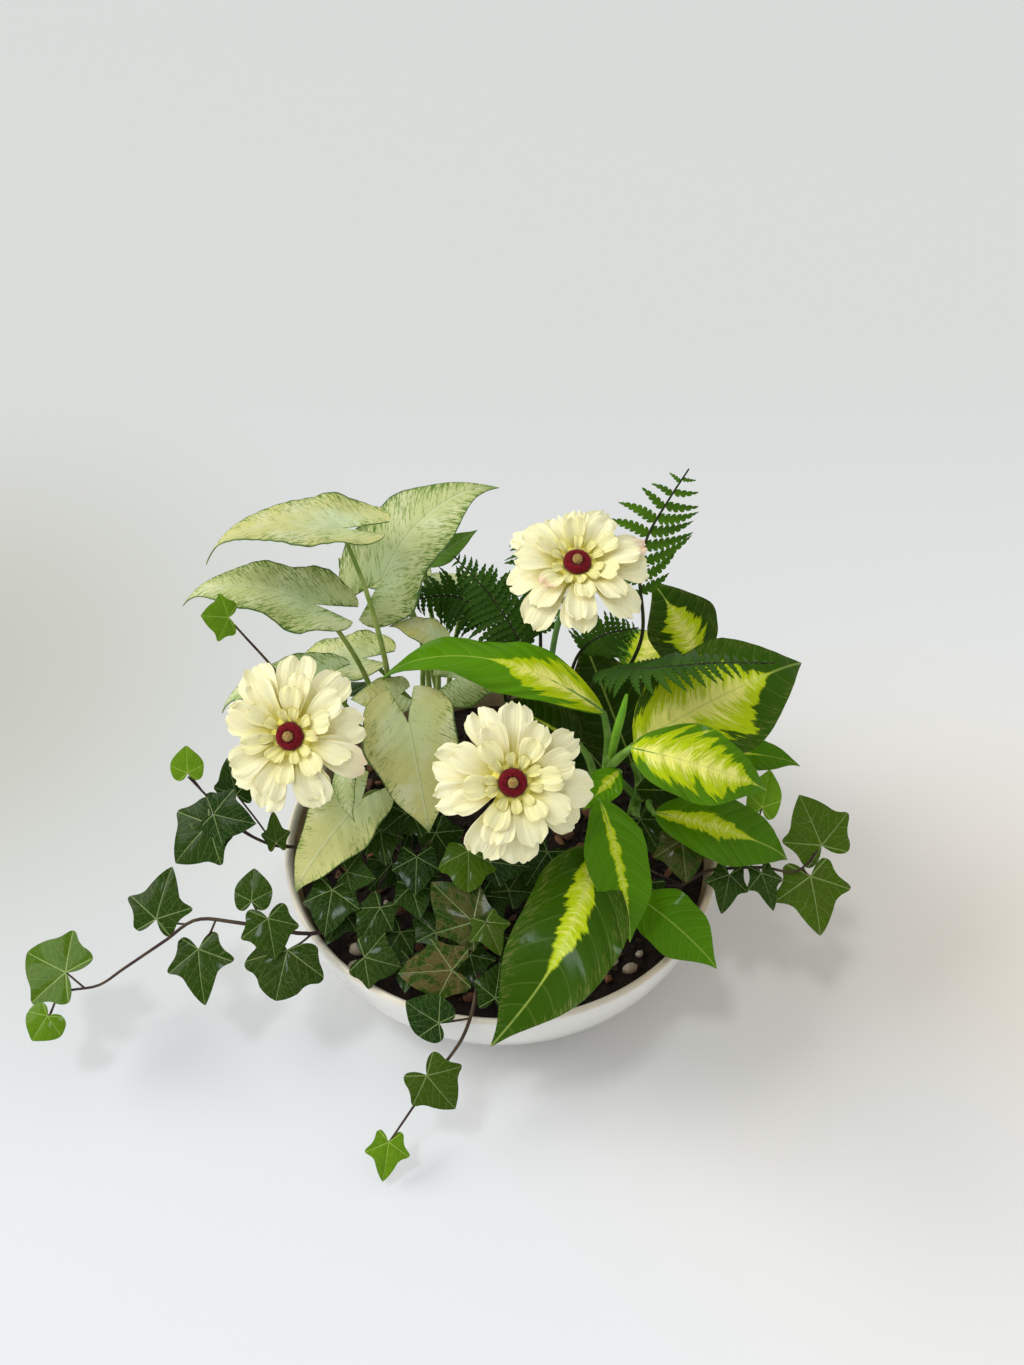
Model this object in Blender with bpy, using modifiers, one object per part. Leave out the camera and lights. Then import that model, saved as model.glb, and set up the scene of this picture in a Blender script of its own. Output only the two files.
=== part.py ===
"""A shallow white bowl planted as a dish garden: syngonium, dieffenbachia, fern and ivy, with three
cream flowers on stems.

Frame: the origin is the centre of the bowl's flat base, +Z is up and -Y is the front. Every
position below is in millimetres, as read by vec(), and the meshes are in metres.
"""
import math
import random

import bmesh
import bpy
from mathutils import Matrix, Vector, noise

MM = 0.001

# Bowl
RIM_RADIUS = 130.0
BOWL_HEIGHT = 75.0
FOOT_RADIUS = 62.0
BOWL_WALL = 4.5
BOWL_FLOOR = 6.0
BOWL_SEGMENTS = 36

# Soil
SOIL_TOP = 61.0
SOIL_MOUND = 4.0
SOIL_SEGMENTS = 18
GAP = 0.35
ROOT_DEPTH = 44.0

# Leaves, petals and stems
LEAF_THICKNESS = 0.8
PETAL_THICKNESS = 0.7
FROND_THICKNESS = 0.8
PETIOLE_HALF_WIDTH = 0.65
# A stalk that would run back under its blade more sharply than this cosine drops first.
FOLDED_BACK = 0.2
ELBOW_DROP = 3.0

FUSE_TRIES = 12
NUDGE = 0.12

# Flowers
PETAL_LAYERS = (
    # count, length, width, lift in degrees, root radius, root height, turn in degrees
    (8, 36.0, 0.56, 4.0, 6.0, 1.2, 0.0),
    (7, 31.0, 0.56, 20.0, 7.5, 2.6, 21.0),
    (5, 20.0, 0.62, 38.0, 9.6, 4.0, 8.0),
)
RECEPTACLE_RADIUS = 11.0
RECEPTACLE_HEIGHT = 8.0
DISC_RADIUS = 7.4
DISC_HEIGHT = 4.2
TUFT_RADIUS = 2.8
TUFT_HEIGHT = 2.6


# Scene helpers

def vec(p):
    return Vector((p[0] * MM, p[1] * MM, p[2] * MM))


def start_scene():
    for ob in list(bpy.data.objects):
        bpy.data.objects.remove(ob, do_unlink=True)
    garden = bpy.data.collections.new("dish_garden")
    work = bpy.data.collections.new("work")
    bpy.context.scene.collection.children.link(garden)
    bpy.context.scene.collection.children.link(work)
    return garden, work


def material(name, colour, roughness):
    mat = bpy.data.materials.new(name)
    mat.use_nodes = True
    shader = mat.node_tree.nodes["Principled BSDF"]
    shader.inputs["Base Color"].default_value = (*colour, 1.0)
    shader.inputs["Roughness"].default_value = roughness
    shader.inputs["Metallic"].default_value = 0.0
    mat.diffuse_color = (*colour, 1.0)
    return mat


def evaluated_mesh(ob, name):
    depsgraph = bpy.context.evaluated_depsgraph_get()
    mesh = bpy.data.meshes.new_from_object(ob.evaluated_get(depsgraph))
    mesh.name = name
    return mesh


def weld(mesh, distance=1e-6):
    bm = bmesh.new()
    bm.from_mesh(mesh)
    bmesh.ops.remove_doubles(bm, verts=bm.verts, dist=distance)
    bmesh.ops.recalc_face_normals(bm, faces=bm.faces)
    bm.to_mesh(mesh)
    bm.free()
    return mesh


def work_object(mesh, name="work"):
    ob = bpy.data.objects.new(name, mesh)
    WORK.objects.link(ob)
    return ob


def drop(ob):
    bpy.data.objects.remove(ob, do_unlink=True)


def finish_object(name, mesh, mat, smooth_angle=35.0):
    mesh.materials.clear()
    mesh.materials.append(mat)
    ob = bpy.data.objects.new(name, mesh)
    GARDEN.objects.link(ob)
    mesh.shade_smooth()
    mesh.set_sharp_from_angle(angle=math.radians(smooth_angle))
    return ob


def sheet(verts, tris, thickness):
    """An open surface of triangles, thickened about its middle into one closed body."""
    mesh = bpy.data.meshes.new("sheet")
    mesh.from_pydata([tuple(v) for v in verts], [], tris)
    mesh.validate()
    ob = work_object(mesh)
    solid = ob.modifiers.new("Solidify", "SOLIDIFY")
    solid.thickness = thickness * MM
    solid.offset = 0.0
    bpy.context.view_layer.update()
    out = evaluated_mesh(ob, "blade")
    drop(ob)
    return weld(out)


def tube(points, radii, sides=6):
    """A capped tube along points, with a radius in millimetres at each of them."""
    curve = bpy.data.curves.new("tube", "CURVE")
    curve.dimensions = "3D"
    spline = curve.splines.new("POLY")
    spline.points.add(len(points) - 1)
    for point, place, radius in zip(spline.points, points, radii):
        point.co = (*place, 1.0)
        point.radius = radius
    curve.bevel_depth = MM
    curve.bevel_resolution = (sides - 4) // 2
    curve.use_fill_caps = True
    curve.render_resolution_u = 0
    ob = bpy.data.objects.new("tube", curve)
    WORK.objects.link(ob)
    bpy.context.view_layer.update()
    mesh = evaluated_mesh(ob, "tube")
    drop(ob)
    return weld(mesh)


def one_body(mesh):
    """Keeps the largest body, so that no scrap is left loose and no sealed hollow stays inside."""
    bm = bmesh.new()
    bm.from_mesh(mesh)
    bmesh.ops.triangulate(bm, faces=bm.faces)
    bodies, seen = [], set()
    for first in bm.verts:
        if first in seen:
            continue
        body, queue = [], [first]
        seen.add(first)
        while queue:
            here = queue.pop()
            body.append(here)
            for edge in here.link_edges:
                there = edge.other_vert(here)
                if there not in seen:
                    seen.add(there)
                    queue.append(there)
        bodies.append(body)
    bodies.sort(key=len)
    scraps = [v for body in bodies[:-1] for v in body]
    bmesh.ops.delete(bm, geom=scraps, context="VERTS")
    bm.to_mesh(mesh)
    bm.free()
    return mesh


def united(name, meshes, solver):
    """The Boolean union of all the meshes."""
    base = work_object(meshes[0], "base")
    others = bpy.data.collections.new("others")
    bpy.context.scene.collection.children.link(others)
    for mesh in meshes[1:]:
        others.objects.link(bpy.data.objects.new("other", mesh))
    union = base.modifiers.new("Union", "BOOLEAN")
    union.operation = "UNION"
    union.operand_type = "COLLECTION"
    union.collection = others
    union.solver = solver
    bpy.context.view_layer.update()
    mesh = one_body(evaluated_mesh(base, name))
    drop(base)
    for ob in list(others.objects):
        drop(ob)
    bpy.data.collections.remove(others)
    return mesh


def pinched_edges(mesh):
    """How many edges are shared by more or fewer than two faces."""
    bm = bmesh.new()
    bm.from_mesh(mesh)
    count = sum(len(edge.link_faces) != 2 for edge in bm.edges)
    bm.free()
    return count


def fuse(name, meshes, mat, solver="MANIFOLD", smooth_angle=35.0):
    """One body from all the meshes, the first being the piece that the others grow from. Where two of
    them only graze, and the body is pinched along an edge, they are shifted a hair and fused again."""
    shift = random.Random(name)
    best = None
    for _ in range(FUSE_TRIES):
        mesh = united(name, meshes, solver)
        pinched = pinched_edges(mesh)
        if best is None or pinched < best[0]:
            best = (pinched, mesh)
        if pinched == 0:
            break
        for other in meshes[1:]:
            other.transform(Matrix.Translation([shift.uniform(-NUDGE, NUDGE) * MM for _ in range(3)]))
    return finish_object(name, best[1], mat, smooth_angle)


# Curves and frames

def curve_points(places, count):
    """Points at even steps along a Catmull-Rom curve through the places given in millimetres."""
    pts = [vec(p) for p in places]
    if len(pts) == 2:
        return [pts[0].lerp(pts[1], i / count) for i in range(count + 1)]
    ends = [2 * pts[0] - pts[1]] + pts + [2 * pts[-1] - pts[-2]]
    out = []
    spans = len(pts) - 1
    for i in range(count + 1):
        s = i / count * spans
        k = min(int(s), spans - 1)
        t = s - k
        a, b, c, d = ends[k:k + 4]
        out.append(0.5 * ((2 * b) + (c - a) * t + (2 * a - 5 * b + 4 * c - d) * t * t
                          + (3 * b - 3 * c + d - a) * t ** 3))
    return out


def leaf_frame(joint, tip, normal):
    """X from the joint to the tip, Z along the normal, Y to the left of the blade."""
    x = (tip - joint).normalized()
    z = Vector(normal)
    z = (z - z.dot(x) * x).normalized()
    y = z.cross(x)
    turn = Matrix((x, y, z)).transposed().to_4x4()
    turn.translation = joint
    return turn


# Leaf outlines: half a blade each, as fractions of the length from the joint to the tip.
# A row is the distance along the midrib, the inner edge and the outer edge.

ARROW = ((-0.30, 0.10, 0.22), (-0.16, 0.04, 0.38), (0.0, 0.0, 0.42), (0.24, 0.0, 0.39),
         (0.52, 0.0, 0.30), (0.80, 0.0, 0.12), (1.0, 0.0, 0.0))
ARROW_YOUNG = ((-0.20, 0.10, 0.16), (0.0, 0.0, 0.27), (0.30, 0.0, 0.28),
               (0.68, 0.0, 0.16), (1.0, 0.0, 0.0))
OVATE = ((0.0, 0.0, 0.05), (0.12, 0.0, 0.24), (0.32, 0.0, 0.35), (0.55, 0.0, 0.33), (0.80, 0.0, 0.17),
         (1.0, 0.0, 0.0))
OVATE_SMALL = ((0.0, 0.0, 0.06), (0.22, 0.0, 0.30), (0.60, 0.0, 0.29), (1.0, 0.0, 0.0))
IVY = ((-0.30, 0.46), (0.01, 0.52), (0.32, 0.80), (0.48, 0.42))
IVY_YOUNG = ((-0.30, 0.30), (-0.10, 0.58), (0.46, 0.56))


def blade(outline, joint, tip, normal, width=1.0, arch=0.1, fold=0.0, wave=0.0, phase=0.0, bend=0.0,
          columns=1):
    """A thin blade lofted across its midrib. The arch lifts its middle off the line from the joint
    to the tip, the bend bows it sideways, the fold lifts its edges into a V, and the wave ruffles them."""
    joint, tip = vec(joint), vec(tip)
    length = (tip - joint).length
    place = leaf_frame(joint, tip, normal)
    widest = max(row[2] for row in outline) * width
    verts, index, tris = [], {}, []

    def vertex(x, y):
        key = (round(x, 5), round(y, 5))
        if key not in index:
            side = abs(y) / widest
            ripple = wave * side * side * math.sin(phase + 9.0 * x + (1.3 if y > 0 else 0.0))
            rise = arch * 4.0 * x * (1.0 - x) if x > 0 else arch * 2.0 * x
            z = rise + fold * abs(y) + ripple
            bow = bend * 4.0 * x * (1.0 - x) if x > 0 else 0.0
            index[key] = len(verts)
            verts.append(place @ Vector((x * length, (y + bow) * length, z * length)))
        return index[key]

    for sign in (1, -1):
        rows = []
        for x, inner, outer in outline:
            rows.append([vertex(x, sign * width * (inner + (outer - inner) * k / columns))
                         for k in range(columns + 1)])
        for near, far in zip(rows, rows[1:]):
            for k in range(columns):
                corners = (near[k], far[k], far[k + 1], near[k + 1])
                if sign < 0:
                    corners = corners[::-1]
                for tri in ((corners[0], corners[1], corners[2]), (corners[0], corners[2], corners[3])):
                    if len(set(tri)) == 3:
                        tris.append(tri)
    return sheet(verts, tris, LEAF_THICKNESS)


def nearest_on(route, place):
    """The point of a route that is nearest to a place."""
    best = None
    for a, b in zip(route, route[1:]):
        span = b - a
        t = min(max((place - a).dot(span) / span.length_squared, 0.0), 1.0)
        spot = a + span * t
        if best is None or (spot - place).length < (best - place).length:
            best = spot
    return best


def stalked_leaf(outline, route, start, joint, tip, normal, width=1.0, cup=0.10):
    """A lobed blade fanned out from its middle, with its stalk running back to the stem as a narrow
    strip of the same sheet."""
    start, joint, tip = nearest_on(route, vec(start)), vec(joint), vec(tip)
    length = (tip - joint).length
    place = leaf_frame(joint, tip, normal)
    half = PETIOLE_HALF_WIDTH * MM / length
    middle = (0.22, 0.0)

    def height(x, y):
        return cup * (1.0 - 1.6 * ((x - 0.3) ** 2 + y * y)) - cup * 0.856

    ring = [(0.0, half)] + [(x, y * width) for x, y in outline] + [(1.0, 0.0)]
    ring += [(x, -y * width) for x, y in reversed(outline)] + [(0.0, -half)]
    verts = [place @ Vector((x * length, y * length, height(x, y) * length)) for x, y in [middle] + ring]
    tris = [(0, i + 1, i) for i in range(1, len(ring))] + [(0, 1, len(ring))]
    left, right = 1, len(ring)
    across = place.to_3x3() @ Vector((0, 1, 0))
    along = (start - joint).normalized()
    side = across - across.dot(along) * along
    if side.length < 0.3:
        side = Vector((0, 0, 1)).cross(along)
    side.normalize()
    spots = [start]
    if along.dot(place.col[0].to_3d()) > FOLDED_BACK:
        spots.insert(0, joint - place.col[2].to_3d() * ELBOW_DROP * MM - place.col[0].to_3d() * MM)
    for spot in spots:
        verts += [spot + side * PETIOLE_HALF_WIDTH * MM, spot - side * PETIOLE_HALF_WIDTH * MM]
        new_left, new_right = len(verts) - 2, len(verts) - 1
        tris += [(left, new_left, new_right), (left, new_right, right)]
        left, right = new_left, new_right
    return sheet(verts, tris, LEAF_THICKNESS)


def stalk(places, tip, normal, arch, bend, radius, sides=4, steps=4, under=0.12):
    """A round leaf stalk that ends a little way along the underside of the midrib."""
    points = curve_points(places, steps)
    joint, tip = points[-1], vec(tip)
    length = (tip - joint).length
    place = leaf_frame(joint, tip, normal)
    end = radius * 0.5
    points[-1] = place @ Vector((0.0, 0.0, -0.5 * end * MM))
    along = 4.0 * under * (1.0 - under) * length
    points.append(place @ Vector((under * length, bend * along, arch * along - end * MM)))
    radii = [radius * (1.2 - 0.4 * i / steps) for i in range(steps + 1)] + [end]
    return tube(points, radii, sides)


def rooted(foot, places, steps):
    """A stem's route: straight down its hole in the soil, then up through the given places."""
    x, y = foot
    down = [vec((x, y, ROOT_DEPTH)), vec((x, y, SOIL_TOP + SOIL_MOUND + 5.0))]
    return down + curve_points([(x, y, SOIL_TOP + SOIL_MOUND + 5.0)] + list(places), steps)[1:]


# Bowl and soil

def bowl_outer(z):
    """The bowl's outer radius at a height: an ellipse that stands on a flat disc."""
    return FOOT_RADIUS + (RIM_RADIUS - FOOT_RADIUS) * math.sqrt(max(0.0, 1 - ((BOWL_HEIGHT - z) / BOWL_HEIGHT) ** 2))


def bowl_inner(z):
    return bowl_outer(max(z - 1.5, 0.0)) - BOWL_WALL


def turned(name, profile, mat, segments, smooth_angle=35.0):
    """A profile in the XZ plane, from the axis up the inner side and down the outer side."""
    mesh = bpy.data.meshes.new(name)
    mesh.from_pydata([(x * MM, 0.0, z * MM) for x, z in profile], [(i, i + 1) for i in range(len(profile) - 1)], [])
    ob = work_object(mesh)
    screw = ob.modifiers.new("Screw", "SCREW")
    screw.steps = segments
    screw.render_steps = segments
    screw.use_merge_vertices = True
    screw.merge_threshold = 0.00001
    bpy.context.view_layer.update()
    out = weld(evaluated_mesh(ob, name), 1e-6)
    drop(ob)
    if mat is None:
        return out
    return finish_object(name, out, mat, smooth_angle)


INNER_LEVELS = [BOWL_FLOOR + (BOWL_HEIGHT - 2.4 - BOWL_FLOOR) * t for t in (0.0, 0.05, 0.2, 0.48, 1.0)]


def inner_wall(z):
    """The radius of the bowl's inner wall as it is modelled, straight between its levels."""
    for low, high in zip(INNER_LEVELS, INNER_LEVELS[1:]):
        if z <= high:
            t = max(0.0, (z - low) / (high - low))
            return bowl_inner(low) * (1 - t) + bowl_inner(high) * t
    return bowl_inner(z)


def make_bowl():
    outer = [(FOOT_RADIUS - 3.0, 0.0)]
    outer += [(bowl_outer(BOWL_HEIGHT * t), BOWL_HEIGHT * t) for t in (0.015, 0.09, 0.26, 0.55)]
    inner = [(bowl_inner(z), z) for z in INNER_LEVELS]
    lip = [(RIM_RADIUS - 2.4, BOWL_HEIGHT), (RIM_RADIUS - 0.6, BOWL_HEIGHT - 0.8), (RIM_RADIUS, BOWL_HEIGHT - 3.0)]
    profile = [(0.0, BOWL_FLOOR)] + inner + lip + list(reversed(outer)) + [(0.0, 0.0)]
    return turned("bowl", profile, MATS["bowl"], BOWL_SEGMENTS, 40.0)


def soil_height(x, y):
    """The mounded soil surface, with low lumps."""
    r = math.hypot(x, y) / 118.0
    lump = noise.noise(Vector((x / 17.0, y / 17.0, 0.3))) * 2.2
    return SOIL_TOP + SOIL_MOUND * (1 - r * r) + lump * (1 - r ** 6)


def make_soil(feet):
    """One body that fills the bowl, with a plain hole for each stem."""
    bm = bmesh.new()
    rings = [[bm.verts.new((0, 0, soil_height(0, 0) * MM))]]
    rim = inner_wall(SOIL_TOP) - GAP - 0.3
    levels = [(rim * 0.35, None), (rim * 0.7, None), (rim, None)]
    levels += [(inner_wall(z) - GAP - 0.5, z) for z in INNER_LEVELS[3:1:-1]] + [(FOOT_RADIUS - 8.0, BOWL_FLOOR + GAP)]
    for radius, z in levels:
        ring = []
        for k in range(SOIL_SEGMENTS):
            a = 2 * math.pi * k / SOIL_SEGMENTS
            x, y = radius * math.cos(a), radius * math.sin(a)
            ring.append(bm.verts.new((x * MM, y * MM, (soil_height(x, y) if z is None else z) * MM)))
        rings.append(ring)
    for k in range(SOIL_SEGMENTS):
        bm.faces.new((rings[0][0], rings[1][k], rings[1][(k + 1) % SOIL_SEGMENTS]))
    for near, far in zip(rings[1:], rings[2:]):
        for k in range(SOIL_SEGMENTS):
            n = (k + 1) % SOIL_SEGMENTS
            bm.faces.new((near[k], far[k], far[n], near[n]))
    bm.faces.new(list(reversed(rings[-1])))
    bmesh.ops.recalc_face_normals(bm, faces=bm.faces)
    bmesh.ops.triangulate(bm, faces=bm.faces)
    mesh = bpy.data.meshes.new("soil")
    bm.to_mesh(mesh)
    bm.free()

    base = work_object(mesh, "base")
    holes = bpy.data.collections.new("holes")
    bpy.context.scene.collection.children.link(holes)
    for (x, y), radius in feet:
        low, high = ROOT_DEPTH - GAP, SOIL_TOP + SOIL_MOUND + 6.0
        bm = bmesh.new()
        bmesh.ops.create_cone(bm, cap_ends=True, segments=5, radius1=(radius + GAP) / math.cos(math.pi / 5) * MM,
                              radius2=(radius + GAP) / math.cos(math.pi / 5) * MM, depth=(high - low) * MM,
                              matrix=Matrix.Translation(vec((x, y, (high + low) / 2))))
        cutter = bpy.data.meshes.new("hole")
        bm.to_mesh(cutter)
        bm.free()
        holes.objects.link(bpy.data.objects.new("hole", cutter))
    cut = base.modifiers.new("Cut", "BOOLEAN")
    cut.operation = "DIFFERENCE"
    cut.operand_type = "COLLECTION"
    cut.collection = holes
    bpy.context.view_layer.update()
    out = evaluated_mesh(base, "soil")
    drop(base)
    for ob in list(holes.objects):
        drop(ob)
    bpy.data.collections.remove(holes)
    return finish_object("soil", out, MATS["soil"], 30.0)


# Syngonium and dieffenbachia: each stem has its foot, its cane and its leaves.
# A leaf is: outline, stalk route, tip, normal, width, arch, fold, wave, phase, sideways bend.

SYNGONIUM = {
    "syngonium_left": dict(
        foot=(-64, 34), radius=3.4, cane=((-65, 34, 84), (-66, 35, 96)), stalk=1.5,
        leaves=(
            (ARROW, ((-66, 34, 88), (-63, 25, 175), (-70, 28, 234), (-84, 47, 268)), (-160, 48, 250),
             (0.10, 0.22, 0.97), 0.95, 0.12, 0.10, 0.02, 0.5, 0.0),
            (ARROW, ((-66, 34, 84), (-74, 33, 160), (-88, 33, 205), (-102, 35, 226)), (-176, 45, 222),
             (0.0, 0.0, 1.0), 0.78, 0.14, 0.05, 0.02, 2.0, 0.0),
            (ARROW_YOUNG, ((-66, 34, 80), (-84, 28, 140), (-94, 26, 170), (-98, 25, 183)), (-160, 18, 164),
             (0.0, 0.0, 1.0), 0.85, 0.12, 0.05, 0.02, 1.0, 0.0),
        )),
    "syngonium_top": dict(
        foot=(-42, 42), radius=3.4, cane=((-42, 42, 84), (-42, 43, 96)), stalk=1.5,
        leaves=(
            (ARROW, ((-42, 42, 90), (-44, 54, 165), (-54, 64, 200), (-66, 64, 220)), (-3, 102, 258),
             (-0.25, -0.45, 0.86), 0.84, 0.10, 0.06, 0.03, 0.0, 0.09),
            (OVATE_SMALL, ((-42, 42, 86), (-38, 64, 150), (-43, 84, 190), (-45, 91, 207)), (-14, 99, 227),
             (-0.3, -0.8, 0.5), 0.8, 0.08, 0.30, 0.0, 0.0, 0.0),
            (ARROW_YOUNG, ((-42, 42, 84), (-46, 46, 140), (-44, 42, 178), (-35, 38, 198)), (-62, 42, 205),
             (0.1, -0.2, 0.97), 1.2, 0.10, 0.10, 0.0, 0.0, 0.0),
        )),
    "syngonium_front": dict(
        foot=(-52, 14), radius=3.4, cane=((-53, 13, 84), (-54, 12, 96)), stalk=1.4,
        leaves=(
            (ARROW, ((-54, 12, 90), (-50, 6, 130), (-50, -4, 165), (-50, -11, 180)), (-39, -47, 130),
             (0.1, -0.80, 0.60), 0.98, 0.10, 0.08, 0.02, 0.0, 0.0),
            (ARROW, ((-53, 12, 84), (-40, 18, 130), (-30, 26, 162), (-25, 30, 175)), (18, 31, 186),
             (0.0, -0.55, 0.83), 0.95, 0.10, 0.05, 0.02, 1.0, 0.0),
            (ARROW_YOUNG, ((-54, 12, 84), (-64, -2, 112), (-73, -16, 130), (-78, -24, 133)), (-117, -58, 92),
             (-0.15, -0.62, 0.77), 1.02, 0.14, 0.02, 0.02, 0.5, 0.0),
            (ARROW_YOUNG, ((-54, 12, 90), (-64, 4, 124), (-76, -10, 148), (-86, -22, 154)), (-80, -46, 140),
             (-0.3, -0.6, 0.75), 0.85, 0.12, 0.02, 0.0, 0.0, 0.0),
            (ARROW_YOUNG, ((-54, 12, 94), (-56, 10, 140), (-57, 10, 168), (-56, 12, 180)), (-84, 12, 176),
             (0.0, -0.7, 0.7), 1.3, 0.08, 0.05, 0.0, 0.0, 0.0),
        )),
    "syngonium_back": dict(
        foot=(-36, 70), radius=3.4, cane=((-36, 71, 84), (-36, 72, 96)), stalk=1.5,
        leaves=(
            (ARROW, ((-36, 72, 90), (-44, 80, 140), (-56, 94, 178), (-64, 104, 190)), (-104, 144, 168),
             (-0.2, 0.4, 0.9), 0.92, 0.12, 0.06, 0.02, 0.0, 0.0),
            (ARROW, ((-36, 72, 86), (-32, 84, 130), (-26, 98, 160), (-24, 108, 168)), (-34, 162, 140),
             (0.0, 0.5, 0.86), 0.92, 0.12, 0.06, 0.02, 1.0, 0.0),
            (ARROW, ((-36, 72, 82), (-56, 76, 110), (-76, 80, 136), (-86, 82, 142)), (-140, 96, 112),
             (-0.4, 0.2, 0.9), 0.92, 0.12, 0.06, 0.02, 2.0, 0.0),
        )),
}

DIEFFENBACHIA = {
    "dieffenbachia_tall": dict(
        foot=(55, -6), radius=5.0, cane=((55, -8, 100), (57, -14, 135), (60, -22, 166)), stalk=2.2,
        rolled=((59.5, -20, 157), (60, -23, 172), (61.5, -25, 190), (63.5, -25, 204), (65, -24, 215)),
        leaves=(
            (OVATE, ((58, -18, 150), (58, -15, 172), (55, -12, 190)), (-68, 17, 190),
             (0.05, -0.20, 0.97), 0.36, 0.25, 0.06, 0.02, 0.5, 0.0),
            (OVATE, ((58, -18, 150), (63, -26, 168), (71, -27, 181)), (168, 26, 193),
             (-0.15, -0.55, 0.82), 0.80, 0.12, 0.05, 0.02, 0.0, 0.0),
            (OVATE, ((58, -18, 148), (62, -31, 174), (68, -37, 189)), (142, -46, 166),
             (0.15, -0.60, 0.79), 0.72, 0.14, 0.05, 0.02, 0.0, 0.0),
            (OVATE, ((56, -12, 128), (54, -28, 148), (53, -44, 156)), (70, -97, 100),
             (0.10, -0.55, 0.82), 0.60, 0.16, 0.10, 0.02, 0.0, 0.0),
            (OVATE, ((55, -10, 110), (53, -34, 128), (50, -58, 134)), (-6, -149, 84),
             (-0.05, -0.30, 0.95), 0.68, 0.14, 0.04, 0.02, 1.0, 0.11),
            (OVATE_SMALL, ((58, -18, 146), (62, -26, 156), (64, -30, 164)), (44, -46, 150),
             (-0.2, -0.7, 0.7), 0.95, 0.10, 0.05, 0.0, 0.0, 0.0),
            (OVATE, ((55, -10, 120), (50, -4, 142), (44, 0, 152)), (0, 27, 160),
             (-0.1, -0.55, 0.83), 0.9, 0.10, 0.05, 0.02, 0.0, 0.0),
        )),
    "dieffenbachia_low": dict(
        foot=(80, 14), radius=4.6, cane=((80, 13, 84), (82, 12, 104)), stalk=2.0,
        leaves=(
            (OVATE, ((82, 13, 100), (102, 38, 120), (118, 60, 146), (118, 68, 152)), (88, 90, 197),
             (0.15, -0.75, 0.64), 1.05, 0.12, 0.05, 0.02, 0.0, 0.0),
            (OVATE, ((82, 12, 92), (84, -10, 118), (82, -30, 134), (84, -38, 138)), (163, -43, 104),
             (0.15, -0.45, 0.88), 0.62, 0.14, 0.05, 0.02, 0.0, 0.0),
            (OVATE_SMALL, ((82, 12, 98), (80, 0, 118), (76, -14, 130)), (118, -20, 134),
             (0.1, -0.6, 0.8), 0.8, 0.08, 0.05, 0.0, 0.0, 0.0),
            (OVATE, ((82, 12, 92), (100, 16, 114), (118, 17, 127)), (174, 11, 124),
             (0.1, -0.3, 0.95), 0.55, 0.10, 0.05, 0.0, 0.0, 0.0),
            (OVATE, ((80, 13, 84), (80, -20, 96), (78, -52, 96), (76, -62, 94)), (118, -99, 80),
             (0.1, -0.45, 0.88), 0.85, 0.14, 0.05, 0.0, 0.0, 0.0),
            (OVATE, ((82, 14, 98), (88, 34, 124), (98, 56, 138)), (156, 104, 108),
             (0.3, 0.3, 0.9), 0.7, 0.16, 0.06, 0.02, 0.0, 0.0),
            (OVATE, ((82, 14, 92), (82, 48, 120), (84, 70, 130)), (104, 146, 104),
             (0.0, 0.35, 0.93), 0.7, 0.16, 0.06, 0.02, 1.0, 0.0),
        )),
}


# A leaf that is still rolled up is a slim spindle on the top of its cane.
ROLLED_RADII = (1.6, 2.5, 2.7, 2.0, 0.5)


def make_leafy_stem(name, spec, mat, sides=4):
    foot, radius = spec["foot"], spec["radius"]
    route = rooted(foot, spec["cane"], 3)
    radii = [radius * (1.0 - 0.35 * i / (len(route) - 1)) for i in range(len(route))]
    radii[1] = radii[0]
    meshes = [tube(route, radii, 6)]
    for outline, places, tip, normal, width, arch, fold, wave, phase, bend in spec["leaves"]:
        meshes.append(stalk(places, tip, normal, arch, bend, spec["stalk"], sides))
        meshes.append(blade(outline, places[-1], tip, normal, width, arch, fold, wave, phase, bend))
    if "rolled" in spec:
        meshes.append(tube(curve_points(spec["rolled"], len(ROLLED_RADII) - 1), ROLLED_RADII, 6))
    return fuse(name, meshes, mat, smooth_angle=50.0)


# Fern: each frond has its foot, the route of its rachis, where its leafy part starts, the number of
# leaflet pairs, the longest leaflet and its normal.

FERN = {
    "fern_upright": ((54, 64), ((60, 64, 110), (80, 56, 178), (77, 60, 224), (80, 67, 246), (90, 69, 270),
                                (99, 69, 290)), 0.42, 11, 27.0, (-0.1, -0.85, 0.5)),
    "fern_right": ((42, 52), ((46, 44, 130), (56, 16, 192), (78, -9, 219), (112, -13, 227), (142, -11, 225)),
                   0.42, 10, 26.0, (0.0, -0.6, 0.8)),
    "fern_left_upper": ((18, 58), ((17, 46, 130), (12, 36, 190), (-4, 48, 217), (-26, 66, 234)),
                        0.50, 9, 24.0, (0.1, -0.6, 0.8)),
    "fern_left": ((4, 66), ((2, 62, 130), (-5, 64, 184), (-26, 69, 202), (-59, 69, 198)), 0.52, 8, 22.0,
                  (0.0, -0.5, 0.85)),
    "fern_middle": ((34, 64), ((38, 56, 130), (43, 42, 180), (56, 38, 200), (76, 38, 206)), 0.58, 7, 18.0,
                    (0.0, -0.6, 0.8)),
    "fern_back": ((24, 88), ((24, 96, 120), (22, 122, 172), (16, 158, 186), (8, 192, 168)), 0.36, 10, 28.0,
                  (0.0, 0.1, 1.0)),
}
FROND_RADIUS = 1.1


def frond_half_length(s):
    """The leaflets' length along the leafy part, as a fraction of the longest."""
    return (0.62 + 1.5 * s) if s < 0.25 else max(0.10, 1.0 - (s - 0.25) ** 1.15 / 0.80)


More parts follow.
